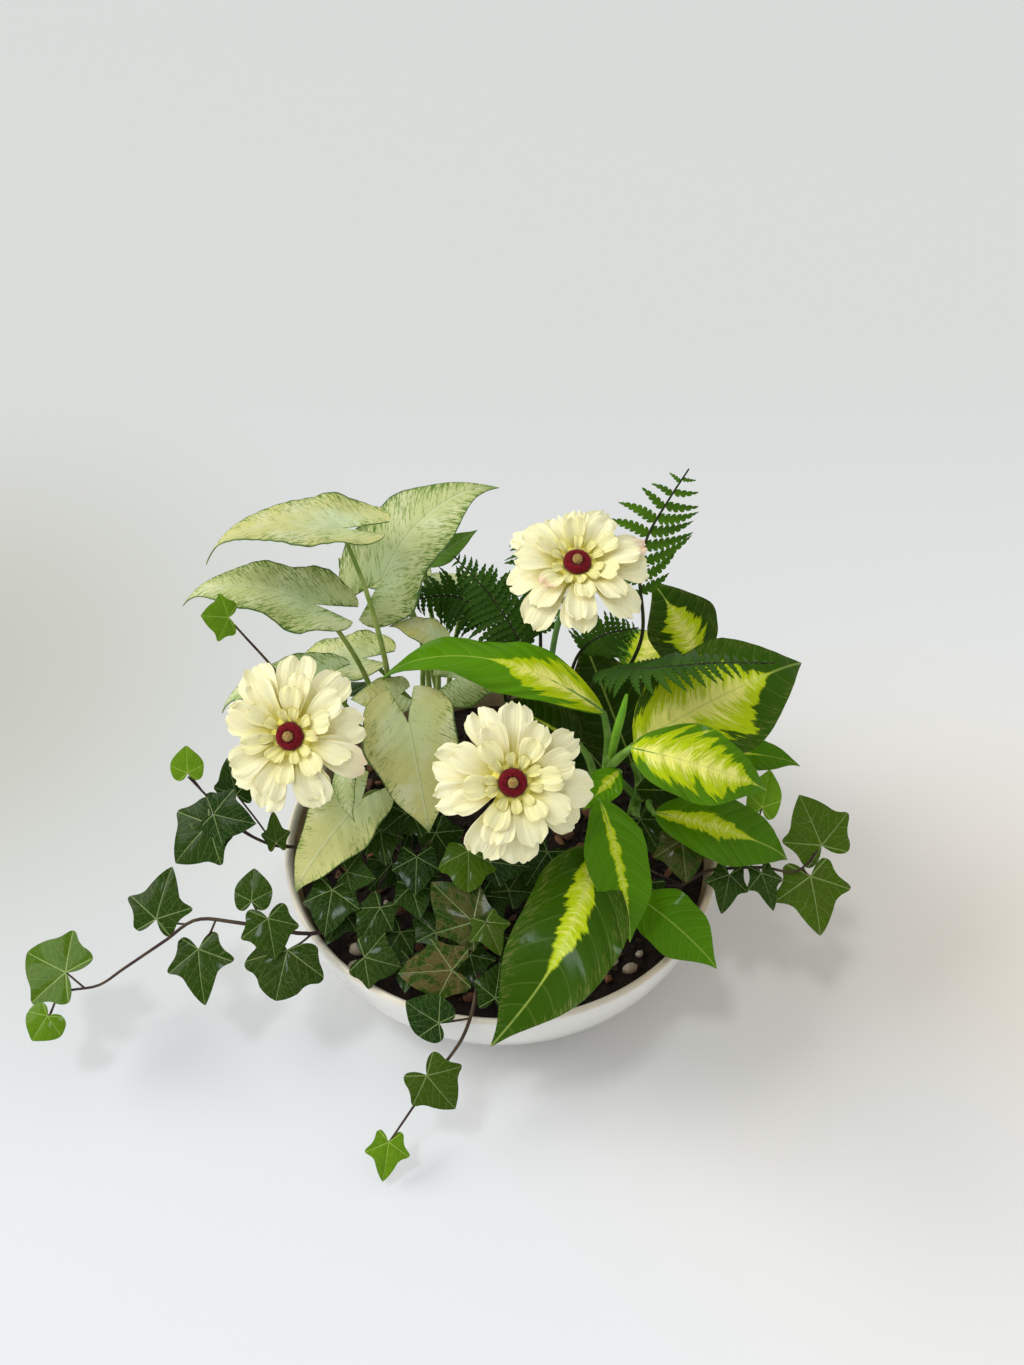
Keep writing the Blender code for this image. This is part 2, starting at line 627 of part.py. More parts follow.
def make_frond(name, spec, mat):
    foot, places, leafy, pairs, longest, normal = spec
    steps = 40
    route = rooted(foot, places, steps)
    body = route[1:]
    start = int(leafy * steps)
    top = body[start:]
    count = len(top) - 1
    verts, tris = [], []
    up = Vector(normal)
    rows = []
    total = 2 * pairs + 1
    stations = [i / total for i in range(total + 1)]

    def at(s):
        t = s * count
        k = min(int(t), count - 1)
        return top[k].lerp(top[k + 1], t - k), (top[k + 1] - top[k]).normalized()

    for s in stations:
        spot, along = at(s)
        side = along.cross(up).normalized()
        half = FROND_RADIUS * (1.0 - 0.6 * s) * MM
        rows.append((len(verts), spot, along, side))
        verts += [spot - side * half, spot + side * half]
    for (a, *_), (b, *_) in zip(rows, rows[1:]):
        tris += [(a, a + 1, b + 1), (a, b + 1, b)]
    for i in range(pairs):
        lower, upper = rows[2 * i][0], rows[2 * i + 1][0]
        s = stations[2 * i]
        length = longest * frond_half_length(s) * MM
        _, spot, along, side = rows[2 * i]
        face = side.cross(along).normalized()
        for sign, corner in ((1, 1), (-1, 0)):
            out = (side * sign + along * 0.30).normalized()
            mid = (verts[lower + corner] + verts[upper + corner]) / 2
            broad = (verts[upper + corner] - verts[lower + corner]).length * 0.62
            tip = mid + out * length - face * length * 0.14
            waist = mid + out * length * 0.5 + face * length * 0.02
            first = len(verts)
            verts += [waist - along * broad * 0.75, waist + along * broad * 0.75, tip]
            a, b, c, d, e = lower + corner, upper + corner, first + 1, first, first + 2
            fresh = [(a, d, c), (a, c, b), (d, e, c)]
            tris += fresh if sign > 0 else [t[::-1] for t in fresh]
    frond = sheet(verts, tris, FROND_THICKNESS)
    stem_route = [route[0]] + body[0:start:5] + [body[start], body[min(start + 3, steps)]]
    radii = [1.5] * (len(stem_route) - 2) + [1.2, 0.6]
    return fuse(name, [tube(stem_route, radii, 4), frond], mat, smooth_angle=30.0)


# Ivy: each stem has its foot, its route, and its leaves as outline, stalk start, joint, tip,
# normal and width.

IVY_STEMS = {
    "ivy_left_trail": dict(
        foot=(-78, -52), steps=13,
        route=((-84, -60, 80), (-103, -80, 85), (-145, -75, 88), (-169, -73, 88), (-186, -83, 82), (-208, -94, 72),
               (-222, -101, 66), (-242, -103, 62), (-248, -112, 56)),
        leaves=(
            (IVY, (-106, -80, 85), (-116, -93, 88), (-121, -117, 76), (0.0, -0.45, 0.9), 1.0),
            (IVY, (-118, -79, 86), (-127, -80, 99), (-122, -99, 88), (0.1, -0.5, 0.86), 1.0),
            (IVY, (-128, -77, 87), (-137, -70, 101), (-137, -54, 110), (-0.2, -0.6, 0.77), 0.95),
            (IVY, (-158, -73, 88), (-168, -84, 76), (-163, -111, 62), (-0.2, -0.4, 0.9), 0.85),
            (IVY, (-176, -76, 86), (-192, -71, 86), (-186, -45, 100), (-0.2, -0.55, 0.8), 0.9),
            (IVY, (-230, -102, 65), (-241, -94, 68), (-270, -76, 62), (-0.1, -0.4, 0.9), 0.85),
            (IVY_YOUNG, (-247, -111, 57), (-249, -114, 56), (-257, -125, 49), (-0.1, -0.4, 0.9), 1.3),
        )),
    "ivy_upper_left_trail": dict(
        foot=(-92, -28), steps=8,
        route=((-98, -28, 82), (-116, -25, 91), (-133, -26, 96), (-151, -22, 106), (-164, -14, 118), (-178, -6, 132)),
        leaves=(
            (IVY, (-148, -23, 104), (-166, -24, 112), (-187, -38, 94), (-0.3, -0.5, 0.8), 0.95),
            (IVY, (-140, -25, 100), (-163, -22, 118), (-138, -34, 124), (0.1, -0.7, 0.7), 0.75),
            (IVY_YOUNG, (-170, -10, 125), (-178, -5, 134), (-179, 6, 145), (-0.1, -0.7, 0.7), 1.0),
            (IVY, (-130, -26, 95), (-154, -2, 112), (-160, 14, 126), (0.0, -0.7, 0.7), 0.7),
            (IVY, (-118, -25, 92), (-129, -28, 100), (-131, -16, 114), (0.0, -0.8, 0.6), 0.6),
        )),
    "ivy_upright": dict(
        foot=(-108, -2), steps=7,
        route=((-109, 0, 110), (-113, 6, 165), (-118, 2, 202), (-139, 10, 232)),
        leaves=(
            (IVY, (-139, 10, 232), (-142, 11, 237), (-155, 7, 242), (-0.3, -0.6, 0.74), 1.15),
        )),
    "ivy_front_trail": dict(
        foot=(-12, -92), steps=10,
        route=((-12, -100, 78), (-13, -116, 85), (-15, -128, 83), (-20, -138, 74), (-28, -144, 62), (-38, -150, 48),
               (-47, -158, 37), (-59, -170, 24)),
        leaves=(
            (IVY, (-16, -130, 81), (-32, -138, 88), (-50, -128, 92), (-0.1, -0.7, 0.7), 0.95),
            (IVY, (-34, -148, 54), (-39, -151, 58), (-24, -163, 44), (0.0, -0.7, 0.7), 0.95),
            (IVY, (-58, -169, 25), (-60, -171, 24), (-63, -187, 10), (0.1, -0.8, 0.6), 0.8),
            (IVY, (-12, -108, 82), (-3, -122, 86), (0, -101, 90), (0.1, -0.6, 0.8), 0.8),
        )),
    "ivy_right_trail": dict(
        foot=(98, -44), steps=7,
        route=((104, -44, 82), (116, -44, 94), (130, -47, 101), (147, -49, 104), (163, -52, 104), (174, -46, 107)),
        leaves=(
            (IVY, (172, -47, 106), (180, -38, 110), (168, -18, 130), (0.0, -0.7, 0.7), 0.9),
            (IVY, (168, -49, 105), (173, -52, 100), (178, -78, 80), (0.1, -0.6, 0.8), 0.95),
            (IVY, (122, -45, 98), (127, -54, 104), (122, -72, 92), (0.0, -0.6, 0.8), 0.75),
            (IVY, (144, -49, 104), (144, -56, 108), (150, -74, 98), (0.1, -0.5, 0.85), 0.7),
            (IVY, (136, -48, 102), (147, -22, 124), (152, -6, 138), (0.0, -0.6, 0.8), 0.75),
            (IVY, (110, -44, 90), (101, -38, 115), (103, -58, 102), (-0.1, -0.6, 0.8), 0.9),
        )),
    "ivy_clump_left": dict(
        foot=(-66, -66), steps=4,
        route=((-68, -68, 80), (-74, -68, 90), (-86, -64, 96)),
        leaves=(
            (IVY, (-84, -65, 95), (-94, -60, 98), (-97, -84, 88), (-0.1, -0.5, 0.86), 0.85),
            (IVY, (-80, -66, 93), (-86, -52, 104), (-70, -60, 108), (0.0, -0.7, 0.7), 0.85),
            (IVY, (-74, -68, 89), (-67, -69, 94), (-78, -87, 86), (0.0, -0.5, 0.86), 0.75),
            (IVY, (-68, -68, 80), (-74, -97, 87), (-54, -101, 84), (0.0, -0.5, 0.86), 1.0),
        )),
    "ivy_clump_middle": dict(
        foot=(-52, -44), steps=4,
        route=((-53, -44, 85), (-56, -40, 104), (-58, -34, 118)),
        leaves=(
            (IVY, (-57, -38, 110), (-68, -32, 116), (-64, -52, 110), (0.0, -0.6, 0.8), 0.75),
            (IVY, (-55, -42, 98), (-47, -48, 112), (-47, -68, 104), (0.0, -0.6, 0.8), 0.85),
            (IVY, (-54, -44, 90), (-50, -58, 99), (-44, -78, 96), (0.0, -0.5, 0.86), 0.8),
            (IVY, (-58, -35, 116), (-54, -26, 124), (-66, -38, 122), (-0.1, -0.7, 0.7), 1.0),
            (IVY, (-57, -36, 114), (-50, -26, 124), (-44, -40, 120), (0.1, -0.7, 0.7), 0.9),
        )),
    "ivy_clump_right": dict(
        foot=(-18, -64), steps=4,
        route=((-18, -64, 84), (-17, -60, 100), (-14, -56, 110)),
        leaves=(
            (IVY, (-15, -57, 108), (-18, -50, 120), (-18, -72, 112), (0.0, -0.6, 0.8), 0.85),
            (IVY, (-14, -56, 110), (-6, -56, 118), (16, -58, 116), (0.1, -0.7, 0.7), 0.8),
            (IVY, (-18, -62, 94), (-15, -84, 101), (-39, -61, 107), (0.0, -0.6, 0.8), 0.72),
            (IVY, (-18, -64, 88), (-8, -86, 104), (0, -102, 96), (0.1, -0.6, 0.8), 0.85),
        )),
    "ivy_clump_front": dict(
        foot=(-34, -88), steps=4,
        route=((-34, -89, 80), (-32, -92, 86), (-28, -97, 90)),
        leaves=(
            (IVY, (-28, -97, 90), (-26, -107, 90), (-56, -106, 85), (-0.05, -0.6, 0.8), 0.74),
            (IVY, (-34, -90, 82), (-50, -94, 80), (-52, -112, 76), (-0.1, -0.5, 0.86), 0.7),
            (IVY, (-33, -91, 84), (-36, -80, 86), (-50, -66, 84), (0.0, -0.5, 0.86), 0.75),
        )),
    "ivy_back_trail": dict(
        foot=(2, 96), steps=7,
        route=((3, 104, 78), (8, 122, 86), (14, 136, 82), (20, 146, 70), (30, 154, 52)),
        leaves=(
            (IVY, (10, 128, 85), (16, 130, 94), (36, 142, 90), (0.1, 0.5, 0.86), 0.85),
            (IVY, (16, 139, 80), (6, 146, 84), (-8, 166, 74), (-0.1, 0.6, 0.8), 0.85),
            (IVY, (22, 148, 66), (28, 150, 68), (44, 162, 52), (0.1, 0.7, 0.7), 0.8),
            (IVY_YOUNG, (29, 153, 53), (30, 154, 52), (32, 168, 34), (0.0, 0.8, 0.6), 1.0),
            (IVY, (4, 110, 82), (0, 116, 92), (-20, 124, 90), (-0.1, 0.4, 0.9), 0.8),
        )),
    "ivy_back_left": dict(
        foot=(-76, 62), steps=6,
        route=((-80, 64, 80), (-92, 74, 88), (-106, 86, 88), (-118, 94, 80)),
        leaves=(
            (IVY, (-96, 77, 88), (-98, 66, 98), (-120, 58, 96), (-0.3, 0.1, 0.95), 0.85),
            (IVY, (-104, 84, 88), (-100, 96, 96), (-108, 118, 88), (-0.2, 0.4, 0.9), 0.85),
            (IVY, (-117, 93, 81), (-120, 96, 80), (-138, 108, 64), (-0.4, 0.4, 0.8), 0.85),
        )),
}
IVY_STEM_RADIUS = 1.25


def make_ivy(name, spec, mat):
    route = rooted(spec["foot"], spec["route"], spec["steps"])
    last = len(route) - 1
    radii = [IVY_STEM_RADIUS * (1.1 - 0.35 * i / last) for i in range(last + 1)]
    meshes = [tube(route, radii, 4)]
    for outline, start, joint, tip, normal, width in spec["leaves"]:
        meshes.append(stalked_leaf(outline, route, start, joint, tip, normal, width))
    return fuse(name, meshes, mat, smooth_angle=30.0)


# Flowers: foot, stem route below the bloom, centre of the bloom, the way it faces, its turn and size.

FLOWERS = {
    "top": ((24, 36), ((25, 36, 120), (30, 38, 200)), (40, 32, 252), (0.0, -0.32, 0.95), 3.0, 0.93),
    "left": ((-90, 4), ((-91, 3, 110), (-101, -6, 160)), (-106, -38, 199), (-0.18, -0.70, 0.69), 1.0, 0.98),
    "centre": ((8, -18), ((8, -18, 110), (7, -34, 155)), (6, -62, 190), (0.05, -0.68, 0.73), 0.0, 0.98),
}
STEM_RADIUS = 1.7
PETAL = ((-0.10, 0.10), (0.28, 0.24), (0.72, 0.49), (1.0, 0.30))
PETAL_NOTCH = 0.94


def petal(place, length, width, lift, radius, root, seed):
    """A spoon-shaped petal with a blunt, notched end."""
    rise = math.sin(math.radians(lift))
    reach = math.cos(math.radians(lift))

    def spot(x, y):
        t = max(x, 0.0)
        out = radius + x * length * reach
        up = root + x * length * rise + length * (0.07 * math.sin(math.pi * 0.9 * t) - 0.10 * t * t)
        return place @ (Vector((out, y * width * length, up + 0.35 * math.sin(seed * 2.1 + 3.0 * y))) * MM)

    verts, tris = [], []
    for x, half in PETAL:
        verts += [spot(x, -half), spot(x, half)]
    for row in range(len(PETAL) - 2):
        a = 2 * row
        tris += [(a, a + 2, a + 3), (a, a + 3, a + 1)]
    a = 2 * (len(PETAL) - 2)
    verts.append(spot(PETAL_NOTCH, 0.0))
    notch = len(verts) - 1
    tris += [(a, a + 2, notch), (a, notch, a + 1), (a + 1, notch, a + 3)]
    return sheet(verts, tris, PETAL_THICKNESS)


def bloom_frame(centre, facing, turn):
    z = Vector(facing).normalized()
    x = (Vector((1, 0, 0)) - z.x * z).normalized()
    y = z.cross(x)
    frame = Matrix((x, y, z)).transposed().to_4x4()
    frame.translation = vec(centre)
    return frame @ Matrix.Rotation(math.radians(turn * 10.0), 4, "Z")


def placed(mesh, frame):
    mesh.transform(frame)
    return mesh


def make_flower(key, spec):
    foot, route, centre, facing, turn, size = spec
    frame = bloom_frame(centre, facing, turn)
    # The receptacle carries the petals and has a shallow seat for the disc on top.
    half = RECEPTACLE_RADIUS
    top = RECEPTACLE_HEIGHT
    seat = DISC_RADIUS + 0.4
    profile = [(0.0, top - 2.0), (seat, top - 2.0), (seat, top), (half, top - 0.6), (half, 1.5),
               (half - 2.5, 0.0), (0.0, 0.0)]
    meshes = [placed(turned("receptacle", profile, None, 12), frame)]
    number = 0
    for count, length, width, lift, radius, root, offset in PETAL_LAYERS:
        for k in range(count):
            number += 1
            jitter = math.sin(number * 2.4 + turn)
            spin = Matrix.Rotation(math.radians(360.0 * k / count + offset + 4.0 * jitter), 4, "Z")
            reach = length * size * (1.0 + 0.07 * math.sin(number * 1.7 + turn))
            meshes.append(petal(frame @ spin, reach, width, lift + 3.0 * jitter, radius, root, number))
    fuse("bloom_" + key, meshes, MATS["petal"], smooth_angle=40.0)

    floor = top - 2.0 + GAP
    inner = TUFT_RADIUS + GAP
    rim = [(DISC_RADIUS, floor + 1.2), (DISC_RADIUS * 0.92, floor + 3.0), (DISC_RADIUS * 0.72, floor + DISC_HEIGHT)]
    disc = [(0.0, floor + 1.0), (inner, floor + 1.0), (inner, floor + DISC_HEIGHT - 0.5)] + rim[::-1]
    disc += [(DISC_RADIUS - 0.8, floor), (0.0, floor)]
    finish_object("bloom_disc_" + key, placed(turned("disc", disc, None, 10), frame), MATS["disc"], 40.0)

    low = floor + 1.0 + GAP
    tuft = [(0.0, low + DISC_HEIGHT - 1.0 + TUFT_HEIGHT), (TUFT_RADIUS * 0.7, low + DISC_HEIGHT + 0.6),
            (TUFT_RADIUS, low + DISC_HEIGHT - 1.0), (TUFT_RADIUS, low), (0.0, low)]
    finish_object("bloom_tuft_" + key, placed(turned("tuft", tuft, None, 6), frame), MATS["tuft"], 40.0)

    # The stem ends in a small cup just under the receptacle.
    under = [frame @ (Vector((0, 0, h)) * MM) for h in (-16.0, -8.0, -3.0, -GAP)]
    line = rooted(foot, list(route) + [tuple(under[0] / MM)], 5) + under[1:]
    radii = [STEM_RADIUS] * (len(line) - 3) + [2.2, 5.5, 7.2]
    finish_object("flower_stem_" + key, tube(line, radii, 6), MATS["stem"], 40.0)


GARDEN, WORK = start_scene()
MATS = {
    "bowl": material("white_glaze", (0.86, 0.85, 0.80), 0.25),
    "soil": material("potting_soil", (0.035, 0.022, 0.015), 0.95),
    "syngonium": material("syngonium_leaf", (0.50, 0.58, 0.34), 0.40),
    "dieffenbachia": material("dieffenbachia_leaf", (0.35, 0.52, 0.12), 0.32),
    "fern": material("fern_frond", (0.03, 0.10, 0.02), 0.45),
    "ivy": material("ivy_leaf", (0.03, 0.09, 0.03), 0.35),
    "petal": material("cream_petal", (0.90, 0.84, 0.60), 0.55),
    "disc": material("red_disc", (0.22, 0.01, 0.01), 0.85),
    "tuft": material("tan_tuft", (0.50, 0.36, 0.16), 0.85),
    "stem": material("flower_stem", (0.12, 0.25, 0.06), 0.50),
}

make_bowl()

stem_feet = []
for spec in list(SYNGONIUM.values()) + list(DIEFFENBACHIA.values()):
    stem_feet.append((spec["foot"], spec["radius"]))
for spec in FERN.values():
    stem_feet.append((spec[0], 1.5))
for spec in IVY_STEMS.values():
    stem_feet.append((spec["foot"], IVY_STEM_RADIUS * 1.1))
for spec in FLOWERS.values():
    stem_feet.append((spec[0], STEM_RADIUS))
make_soil(stem_feet)

for label, spec in SYNGONIUM.items():
    make_leafy_stem(label, spec, MATS["syngonium"])
for label, spec in DIEFFENBACHIA.items():
    make_leafy_stem(label, spec, MATS["dieffenbachia"])
for label, spec in FERN.items():
    make_frond(label, spec, MATS["fern"])
for label, spec in IVY_STEMS.items():
    make_ivy(label, spec, MATS["ivy"])
for label, spec in FLOWERS.items():
    make_flower(label, spec)

bpy.data.collections.remove(WORK)
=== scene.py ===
"""Looks for the dish garden: the foliage, flowers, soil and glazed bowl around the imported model.

Places are in millimetres, in the model's own frame: the origin is the centre of the bowl's base,
+Z is up and -Y is the front.
"""
import math
import random

import bpy
from mathutils import Matrix, Vector, noise


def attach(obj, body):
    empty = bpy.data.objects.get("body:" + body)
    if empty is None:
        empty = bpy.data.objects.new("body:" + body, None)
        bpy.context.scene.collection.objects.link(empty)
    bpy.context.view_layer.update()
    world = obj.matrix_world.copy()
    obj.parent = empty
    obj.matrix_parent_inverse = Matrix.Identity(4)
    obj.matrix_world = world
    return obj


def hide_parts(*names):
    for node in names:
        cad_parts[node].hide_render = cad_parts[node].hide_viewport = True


MM = 0.001
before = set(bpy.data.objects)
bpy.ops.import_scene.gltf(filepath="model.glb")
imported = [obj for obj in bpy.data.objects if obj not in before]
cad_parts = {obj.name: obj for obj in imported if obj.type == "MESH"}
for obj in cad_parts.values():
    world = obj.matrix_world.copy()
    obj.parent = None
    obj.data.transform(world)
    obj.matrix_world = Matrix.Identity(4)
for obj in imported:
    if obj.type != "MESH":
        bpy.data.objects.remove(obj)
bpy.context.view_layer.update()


# Node materials

class Net:
    """A principled material with short calls for the nodes that feed it."""

    def __init__(self, name, roughness=0.5, coat=0.0, coat_roughness=0.2, specular=0.5):
        self.mat = bpy.data.materials.new(name)
        self.mat.use_nodes = True
        self.tree = self.mat.node_tree
        self.bsdf = self.tree.nodes["Principled BSDF"]
        self.bsdf.inputs["Roughness"].default_value = roughness
        self.bsdf.inputs["Coat Weight"].default_value = coat
        self.bsdf.inputs["Coat Roughness"].default_value = coat_roughness
        self.bsdf.inputs["Specular IOR Level"].default_value = specular

    def put(self, socket, value):
        if isinstance(value, bpy.types.NodeSocket):
            self.tree.links.new(value, socket)
        elif isinstance(value, tuple) and len(value) == 3 and socket.type == "RGBA":
            socket.default_value = (*value, 1.0)
        else:
            socket.default_value = value

    def math(self, operation, a, b=0.0, c=0.0, clamp=False):
        node = self.tree.nodes.new("ShaderNodeMath")
        node.operation = operation
        node.use_clamp = clamp
        for socket, value in zip(node.inputs, (a, b, c)):
            self.put(socket, value)
        return node.outputs[0]

    def step(self, value, low, high):
        """0 below low, 1 above high, smooth between them. Works downwards too."""
        node = self.tree.nodes.new("ShaderNodeMapRange")
        node.interpolation_type = "SMOOTHSTEP"
        for socket, v in zip(node.inputs, (value, low, high, 0.0, 1.0)):
            self.put(socket, v)
        return node.outputs[0]

    def attribute(self, name):
        node = self.tree.nodes.new("ShaderNodeAttribute")
        node.attribute_name = name
        split = self.tree.nodes.new("ShaderNodeSeparateXYZ")
        self.tree.links.new(node.outputs["Vector"], split.inputs[0])
        return split.outputs[0], split.outputs[1], split.outputs[2]

    def position(self):
        node = self.tree.nodes.new("ShaderNodeTexCoord")
        return node.outputs["Object"]

    def vector(self, x, y, z):
        node = self.tree.nodes.new("ShaderNodeCombineXYZ")
        for socket, value in zip(node.inputs, (x, y, z)):
            self.put(socket, value)
        return node.outputs[0]

    def noise(self, vector, scale, detail=3.0, roughness=0.55):
        node = self.tree.nodes.new("ShaderNodeTexNoise")
        self.put(node.inputs["Vector"], vector)
        node.inputs["Scale"].default_value = scale
        node.inputs["Detail"].default_value = detail
        node.inputs["Roughness"].default_value = roughness
        return node.outputs["Fac"]

    def cracks(self, vector, scale):
        """The distance to the nearest edge of a field of cells."""
        node = self.tree.nodes.new("ShaderNodeTexVoronoi")
        node.feature = "DISTANCE_TO_EDGE"
        self.put(node.inputs["Vector"], vector)
        node.inputs["Scale"].default_value = scale
        return node.outputs["Distance"]

    def mix(self, factor, a, b):
        node = self.tree.nodes.new("ShaderNodeMix")
        node.data_type = "RGBA"
        self.put(node.inputs[0], factor)
        self.put(node.inputs[6], a)
        self.put(node.inputs[7], b)
        return node.outputs[2]

    def finish(self, colour, height=None, distance=0.3, strength=0.5, roughness=None):
        self.put(self.bsdf.inputs["Base Color"], colour)
        if roughness is not None:
            self.put(self.bsdf.inputs["Roughness"], roughness)
        if height is not None:
            bump = self.tree.nodes.new("ShaderNodeBump")
            bump.inputs["Strength"].default_value = strength
            bump.inputs["Distance"].default_value = distance * MM
            self.put(bump.inputs["Height"], height)
            self.put(self.bsdf.inputs["Normal"], bump.outputs[0])
        return self.mat


def side_veins(net, x, y, slant, curve, count):
    """How near a point is to a side vein, 1 on it, and the coordinate across the side veins."""
    side = net.math("ABSOLUTE", y)
    lag = net.math("MULTIPLY", side, net.math("ADD", slant, net.math("MULTIPLY", side, curve)))
    across = net.math("SUBTRACT", x, lag)
    turn = net.math("COSINE", net.math("MULTIPLY", across, 2 * math.pi * count))
    return turn, across


def syngonium_material():
    net = Net("syngonium_leaf", 0.45, 0.05, 0.20, 0.06)
    x, y, edge = net.attribute("leaf")
    warm, green, seed = net.attribute("tone")
    under = net.attribute("seed")[1]
    veins, across = side_veins(net, x, y, 0.75, 0.0, 8.0)
    wide = net.noise(net.vector(net.math("MULTIPLY", across, 44.0), net.math("MULTIPLY", y, 9.0), seed), 1.0, 4.0, 0.65)
    fine = net.noise(net.vector(net.math("MULTIPLY", across, 90.0), net.math("MULTIPLY", y, 26.0), seed), 1.0, 3.0, 0.6)
    streaks = net.math("ADD", net.math("MULTIPLY", wide, 0.55), net.math("MULTIPLY", fine, 0.45))
    clouds = net.noise(net.vector(x, y, seed), 3.2, 2.0)
    pale = net.mix(warm, (0.50, 0.59, 0.29), (0.60, 0.56, 0.19))
    pale = net.mix(net.math("MULTIPLY", net.step(clouds, 0.45, 0.72), 0.8), pale, (0.68, 0.69, 0.41))
    pull = net.math("ADD", streaks, net.math("MULTIPLY", net.math("SUBTRACT", edge, 0.55), 0.12))
    pull = net.math("ADD", pull, net.math("MULTIPLY", net.math("SUBTRACT", green, 0.5), 0.12))
    mint = net.math("MULTIPLY", net.step(net.math("SQRT", net.math("ADD", net.math("MULTIPLY", x, x), net.math("MULTIPLY", y, y))),
                                         0.42, 0.05), 0.5)
    pale = net.mix(mint, pale, (0.50, 0.66, 0.36))
    body = net.mix(net.math("MULTIPLY", net.step(pull, 0.485, 0.565), 0.72), pale, (0.20, 0.30, 0.04))
    rough = net.math("ADD", pull, net.math("MULTIPLY", net.math("SUBTRACT", edge, 0.75), 0.12))
    body = net.mix(net.math("MULTIPLY", net.step(rough, 0.555, 0.63), 0.80), body, (0.065, 0.15, 0.012))
    body = net.mix(net.math("MULTIPLY", net.step(green, 0.75, 1.0), 0.9), body, (0.13, 0.30, 0.03))
    line = net.math("MULTIPLY", net.step(veins, 0.95, 1.0), 0.22)
    body = net.mix(line, body, (0.58, 0.64, 0.36))
    beside = net.step(net.math("ABSOLUTE", net.math("SUBTRACT", y, 0.012)), 0.012, 0.004)
    body = net.mix(net.math("MULTIPLY", beside, 0.35), body, (0.30, 0.36, 0.12))
    rib = net.step(net.math("ABSOLUTE", y), 0.010, 0.003)
    body = net.mix(net.math("MULTIPLY", rib, 0.6), body, (0.64, 0.68, 0.40))
    tip = net.math("MULTIPLY", net.step(x, 0.86, 0.99), 0.75)
    body = net.mix(tip, body, (0.12, 0.25, 0.03))
    border = net.step(edge, 0.945, 0.985)
    body = net.mix(net.math("MULTIPLY", border, 0.85), body, (0.045, 0.10, 0.022))
    body = net.mix(net.math("MULTIPLY", under, 0.55), body, (0.22, 0.36, 0.08))
    height = net.math("ADD", net.math("MULTIPLY", veins, -0.3), net.math("MULTIPLY", streaks, 0.5))
    return net.finish(body, height, 0.5, 0.7)


def dieffenbachia_material():
    net = Net("dieffenbachia_leaf", 0.38, 0.09, 0.14, 0.02)
    x, y, edge = net.attribute("leaf")
    extent, dark, reach = net.attribute("tone")
    seed, under, _ = net.attribute("seed")
    veins, across = side_veins(net, x, y, 0.20, 1.5, 9.0)
    feathers = net.noise(net.vector(net.math("MULTIPLY", across, 58.0), net.math("MULTIPLY", y, 7.0), seed), 1.0, 5.0, 0.72)
    broad = net.noise(net.vector(net.math("MULTIPLY", across, 11.0), net.math("MULTIPLY", y, 2.5), seed), 1.0, 2.0)
    flecks = net.noise(net.vector(net.math("MULTIPLY", across, 95.0), net.math("MULTIPLY", y, 20.0), seed), 1.0, 3.0, 0.6)
    fade = net.step(x, net.math("ADD", reach, 0.10), net.math("SUBTRACT", reach, 0.26))
    wander = net.math("ADD", net.math("MULTIPLY", net.math("SUBTRACT", feathers, 0.5), 1.4),
                      net.math("MULTIPLY", net.math("SUBTRACT", broad, 0.5), 1.7))
    wander = net.math("ADD", wander, net.math("MULTIPLY", veins, 0.10))
    limit = net.math("MULTIPLY", net.math("MULTIPLY", extent, fade), net.math("ADD", 1.0, wander))
    inside = net.step(net.math("SUBTRACT", limit, edge), -0.03, 0.05)
    brush = net.math("MULTIPLY", net.math("SUBTRACT", feathers, 0.5), 1.1)
    core = net.math("SUBTRACT", net.math("MULTIPLY", limit, 0.56), 0.11)
    heart = net.step(net.math("SUBTRACT", net.math("ADD", core, brush), edge), -0.16, 0.26)
    green = net.mix(dark, (0.100, 0.270, 0.003), (0.018, 0.046, 0.001))
    # Bronze flecks near the margin of dark leaves: partly the leaf's own speckles, partly a painted sheen.
    bronze = net.math("MULTIPLY", net.math("MULTIPLY", net.step(edge, 0.5, 0.9), net.step(flecks, 0.50, 0.62)), dark)
    green = net.mix(net.math("MULTIPLY", bronze, 0.55), green, (0.19, 0.18, 0.05))
    yellow = net.mix(heart, (0.45, 0.56, 0.004), (0.88, 0.84, 0.20))
    yellow = net.mix(net.math("MULTIPLY", net.step(flecks, 0.58, 0.68), net.math("SUBTRACT", 0.65, net.math("MULTIPLY", heart, 0.45))),
                     yellow, (0.16, 0.34, 0.012))
    body = net.mix(inside, green, yellow)
    line = net.math("MULTIPLY", net.step(veins, 0.94, 1.0), 0.06)
    body = net.mix(line, body, (0.50, 0.56, 0.16))
    rib = net.step(net.math("ABSOLUTE", y), 0.011, 0.003)
    body = net.mix(net.math("MULTIPLY", rib, 0.40), body, (0.45, 0.55, 0.12))
    body = net.mix(net.math("MULTIPLY", under, 0.35), body, (0.12, 0.24, 0.05))
    height = net.math("ADD", net.math("MULTIPLY", veins, -0.25), net.math("MULTIPLY", broad, 1.4))
    return net.finish(body, height, 1.1, 0.9)


